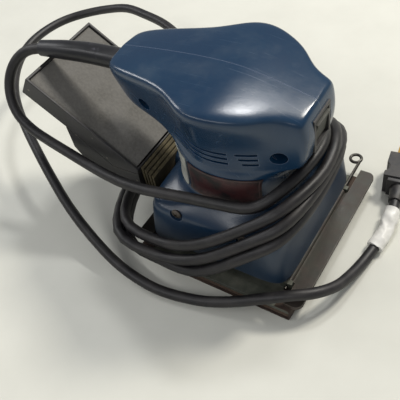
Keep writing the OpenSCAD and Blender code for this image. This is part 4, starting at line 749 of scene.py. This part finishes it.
for side, tag in ((1, "Left"), (-1, "Right")):
    dark, grid = labelPiece("printedLabel" + tag, "side_label_" + tag.lower(), labels["dark"], side,
                            [finishes["wornRedLabel"], finishes["whiteInk"]])
    for polygon in dark.data.polygons:  # a pale printed border, set in from the label's edge
        spot = np.array(polygon.center) / mm * [1, side, 1]
        v = np.abs(grid - spot).sum(axis=2)
        i, j = np.unravel_index(v.argmin(), v.shape)
        edge = min(i, v.shape[0] - 1 - i) / v.shape[0], min(j, v.shape[1] - 1 - j) / v.shape[1]
        across = 0.04 < edge[0] < 0.07 and edge[1] > 0.02
        upright = 0.02 < edge[1] < 0.035 and edge[0] > 0.04
        polygon.material_index = 1 if across or upright else 0
    labelPiece("silverLabel" + tag, "rating_plate_" + tag.lower(), labels["silver"], side,
               [finishes["silverFoil"]])
print("labels")


# rigid parts kept in shape, with their edges broken
broken = {"front_clamp_bar": 0.5, "rear_clamp_bar": 0.5, "platen_plate": 0.4, "dust_box_frame": 0.5,
          "dust_box_tub": 0.6, "dust_box_neck": 0.35, "switch_bezel": 0.4, "switch_rocker": 0.5,
          "plug_body": 0.9, "dust_spigot": 0.4, "plug_blades": 0.2,
          "front_clamp_lever": 0, "rear_clamp_lever": 0}
for node, width in broken.items():
    words = node.split("_")
    refined(words[0] + "".join(w.capitalize() for w in words[1:]), node, finishFor(node), width)
print("rigid parts:", len(broken))


# housing screws: one turned pattern with a cross in its head, set at each seat by a node tree
screw = {"head": 3.2, "thick": 1.5, "crown": 0.35, "shank": 1.5, "long": 8, "slot": 0.42, "arm": 1.9,
         "deep": 0.9, "sunk": 0.05, "bridgeSeat": 45.3, "widestTurn": math.pi / 2, "seed": 4,
         "sides": 36}


def turnedMesh(name, profile, sides):
    # a solid turned round the y axis from radius and height pairs
    points, faces = [], []
    for r, y in profile:
        for k in range(sides):
            a = 2 * math.pi * k / sides
            points.append((r * math.cos(a) * mm, y * mm, r * math.sin(a) * mm))
    for i in range(len(profile) - 1):
        for k in range(sides):
            m = (k + 1) % sides
            faces.append((i * sides + k, (i + 1) * sides + k, (i + 1) * sides + m, i * sides + m))
    faces += [tuple(range(sides)), tuple((len(profile) - 1) * sides + k for k in range(sides))[::-1]]
    return meshOf(name, points, faces)  # profiles run upwards, so faces look out


def setAtSeats(name):
    # a tree that sets a pattern at each point, pointing away from the tool, each turned by chance
    tree = bpy.data.node_groups.new(name, "GeometryNodeTree")
    ids = {}
    for label, kind in (("Geometry", "Geometry"), ("Pattern", "Object"), ("Finish", "Material"),
                        ("Widest turn", "Float"), ("Seed", "Int")):
        ids[label] = tree.interface.new_socket(label, in_out="INPUT",
                                               socket_type="NodeSocket" + kind).identifier
    tree.interface.new_socket("Geometry", in_out="OUTPUT", socket_type="NodeSocketGeometry")
    given = add(tree, "NodeGroupInput").outputs
    pattern = add(tree, "GeometryNodeObjectInfo", links={"Object": given["Pattern"]})
    place = add(tree, "GeometryNodeInputPosition").outputs[0]
    side = add(tree, "ShaderNodeSeparateXYZ", links={0: place})
    sign = add(tree, "ShaderNodeMath", operation="SIGN", links={0: side.outputs["Y"]})
    out = add(tree, "ShaderNodeCombineXYZ", links={"Y": sign.outputs[0]})
    facing = add(tree, "FunctionNodeAlignRotationToVector", links={"Vector": out.outputs[0]}, axis="Y")
    placed = add(tree, "GeometryNodeInstanceOnPoints", links={
        "Points": given["Geometry"], "Instance": pattern.outputs["Geometry"],
        "Rotation": facing.outputs[0]})
    widest = add(tree, "ShaderNodeCombineXYZ", links={"Y": given["Widest turn"]})
    turn = add(tree, "FunctionNodeRandomValue", links={1: widest.outputs[0], "Seed": given["Seed"]},
               data_type="FLOAT_VECTOR")
    turned = add(tree, "GeometryNodeRotateInstances", links={
        "Instances": placed.outputs[0], "Rotation": turn.outputs[0]})
    real = add(tree, "GeometryNodeRealizeInstances", links={0: turned.outputs[0]})
    done = add(tree, "GeometryNodeSetMaterial", links={"Geometry": real.outputs[0],
                                                       "Material": given["Finish"]})
    add(tree, "NodeGroupOutput", links={0: done.outputs[0]})
    return tree, ids


h, t = screw["head"], screw["thick"]
pattern = bpy.data.objects.new("screwPattern", turnedMesh("screwPattern", [
    (screw["shank"] * 0.5, -screw["long"]), (screw["shank"], -screw["long"] + 1.2), (screw["shank"], 0),
    (h - 0.15, 0), (h, 0.15), (h, t * 0.55), (h - 0.35, t * 0.85),
    (h * 0.62, t + 0.6 * screw["crown"]), (h * 0.3, t + screw["crown"])], screw["sides"]))
scene.collection.objects.link(pattern)
for half in ((screw["arm"], screw["slot"]), (screw["slot"], screw["arm"])):  # the cross's two arms
    combined(pattern, "DIFFERENCE", lambda shape: addBox(
        shape, (-half[0], t - screw["deep"], -half[1]), (half[0], t + 1, half[1])))
seats = [(x, -seat - screw["sunk"], z) for x, z, seat, end in headScrews]
seats += [(x, side * screw["bridgeSeat"], z) for x, z in bridgeScrews for side in (1, -1)]
tree, ids = setAtSeats("setAtSeats")
holder = bpy.data.objects.new("seats", meshOf("seats", np.array(seats) * mm, []))
scene.collection.objects.link(holder)
setting = holder.modifiers.new("setAtSeats", "NODES")
setting.node_group = tree
for label, value in (("Pattern", pattern), ("Finish", finishes["zincScrew"]),
                     ("Widest turn", screw["widestTurn"]), ("Seed", screw["seed"])):
    setting[ids[label]] = value
applied(holder)
screwMesh = holder.data
bpy.data.objects.remove(holder)
bpy.data.objects.remove(pattern)
screws = pieceFrom("housingScrews", screwMesh, finishes["zincScrew"], bodyOf["housing_screws"],
                   35)
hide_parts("housing_screws")
print("housing screws:", len(seats), len(screwMesh.polygons))


# soft parts: each one's own sheet or pad, worked in its own mesh
def ruffled(mesh, deep, size, seed, axes=(1, 1, 1)):
    for v in mesh.vertices:
        spot = Vector(v.co) * (1000 / size) + Vector((seed, 0, 0))
        v.co += Vector(noise.noise_vector(spot)) * Vector(axes) * deep * mm
    mesh.update()


def sheetMesh(name, profile, start, stop, thick, cells):
    # a strip drawn by profile in x and z, run along y, with real thickness
    line = through(profile, 5)
    line = np.array([[p[0], 0, p[1]] for p in line])
    along = np.gradient(line, axis=0)
    along /= np.linalg.norm(along, axis=1)[:, None]
    out = np.stack([-along[:, 2], along[:, 1], along[:, 0]], axis=1)
    across = np.linspace(start, stop, cells)
    sides = [np.array([[p + [0, y, 0] for y in across] for p in line + out * shift])
             for shift in (thick / 2, -thick / 2)]
    return slabMesh(name, sides[0], sides[1], 1)


def softened(name, mesh, node, width):
    piece = pieceFrom(name, mesh, finishFor(node), bodyOf[node], 50)
    edge = piece.modifiers.new("edges", "BEVEL")
    edge.width, edge.segments, edge.limit_method = width * mm, 2, "ANGLE"
    edge.angle_limit, edge.use_clamp_overlap = math.radians(50), True
    applied(piece)
    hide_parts(node)
    return piece


# filter felt lying in the box's slanted mouth, its face a little wavy and fuzzy
low, high = [np.array(c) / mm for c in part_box("filter_panel")]
felt = {"wave": 0.25, "size": 26, "fuzz": 0.12, "fuzzSize": 1.6, "cells": (120, 90), "rise": 49.4,
        "reach": 71, "edge": (-58.5, 0, 55), "along": (2, 84.6), "inset": 0.1, "faces": (1.5, 3.1)}
tilt = math.atan2(felt["rise"], felt["reach"])
lie = np.array([-math.cos(tilt), 0, math.sin(tilt)])
off = np.array([math.sin(tilt), 0, math.cos(tilt)])
lengths = np.linspace(*felt["along"], felt["cells"][0])
widths = np.linspace(low[1] + felt["inset"], high[1] - felt["inset"], felt["cells"][1])
layers = [np.array([[np.array(felt["edge"]) + s * lie - depth * off + [0, y, 0] for y in widths]
                    for s in lengths]) for depth in felt["faces"]]
feltMesh = slabMesh("filterFelt", layers[0], layers[1], 1)
ruffled(feltMesh, felt["wave"], felt["size"], 3)
ruffled(feltMesh, felt["fuzz"], felt["fuzzSize"], 9, (0.3, 0.3, 1))
softened("filterFelt", feltMesh, "filter_panel", 0.3)

# foam under the plate: worn round at its edges, bulging a little where the clamps pull
low, high = [np.array(c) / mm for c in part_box("foam_pad")]
foam = {"cuts": 60, "layers": 6, "round": 1.6, "edge": 2, "rough": 0.12, "size": 1.6, "fill": 0.9}
shape = bmesh.new()
addBox(shape, low, high)
level = [e for e in shape.edges if e.calc_length() > 0.02]
bmesh.ops.subdivide_edges(shape, edges=level, cuts=foam["cuts"], use_grid_fill=True)
upright = [e for e in shape.edges if abs(e.verts[0].co.z - e.verts[1].co.z) > 0.003]
bmesh.ops.subdivide_edges(shape, edges=upright, cuts=foam["layers"], use_grid_fill=True)
foamMesh = bpy.data.meshes.new("foamPad")
shape.to_mesh(foamMesh)
shape.free()
middle, half = (low + high) / 2, (high - low) / 2
for v in foamMesh.vertices:
    p = np.array(v.co) / mm - middle
    pulled = 1 - (abs(p[2]) / half[2]) ** 2
    for k in (0, 1):
        near = max(0, abs(p[k]) - (half[k] - foam["edge"])) / foam["edge"]
        p[k] -= math.copysign(near * foam["round"] * (0.25 + 0.75 * (1 - pulled)), p[k])
    v.co = (p + middle) * mm
ruffled(foamMesh, foam["rough"], foam["size"], 5)
foamPiece = softened("foamPad", foamMesh, "foam_pad", 0.2)

# abrasive paper: flat under the foam, up each end and folded over the plate under the bars
low, high = [np.array(c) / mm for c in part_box("abrasive_sheet")]
paper = {"thick": 0.7, "bend": 1.6, "tongue": 9, "cells": 90, "crease": 0.25, "endInset": 0.4,
         "faceInset": 0.42}
x = high[0] - paper["endInset"]
top, bottom = high[2] - paper["faceInset"], low[2] + paper["faceInset"]
b = paper["bend"]
rightEnd = [[x - paper["tongue"], top], [x - 5, top], [x - b, top], [x - 0.3 * b, top - 0.3 * b],
            [x, top - b], [x, (top + bottom) / 2], [x, bottom + b], [x - 0.3 * b, bottom + 0.3 * b],
            [x - b, bottom], [x - 10, bottom], [x - 30, bottom]]
profile = rightEnd + [[-p[0], p[1]] for p in rightEnd[::-1]]
paperMesh = sheetMesh("abrasivePaper", profile, low[1], high[1], paper["thick"], paper["cells"])
for v in paperMesh.vertices:
    if v.co.z > 0.0012:
        v.co.x += noise.noise(Vector((v.co.y * 90, v.co.z * 120, 2))) * paper["crease"] * mm
softened("abrasivePaper", paperMesh, "abrasive_sheet", 0.1)

# crumpled clear-white film round the lead before the plug
film = {"radius": 4.7, "swell": 0.35, "swellTurns": 9, "wrinkle": 0.9, "sides": 40, "steps": 14}
tagLine = through(runPath[-4:-1], film["steps"])
swell = film["swell"] * np.sin(np.linspace(0, film["swellTurns"], len(tagLine)))
radii = film["radius"] + swell
filmMesh = tubeMesh("cordFilm", tagLine, radii, film["sides"])
ruffled(filmMesh, film["wrinkle"], 5, 4)
ruffled(filmMesh, 0.3, 1.7, 8)
softened("cordFilm", filmMesh, "cord_tag", 0.1)
print("soft parts")
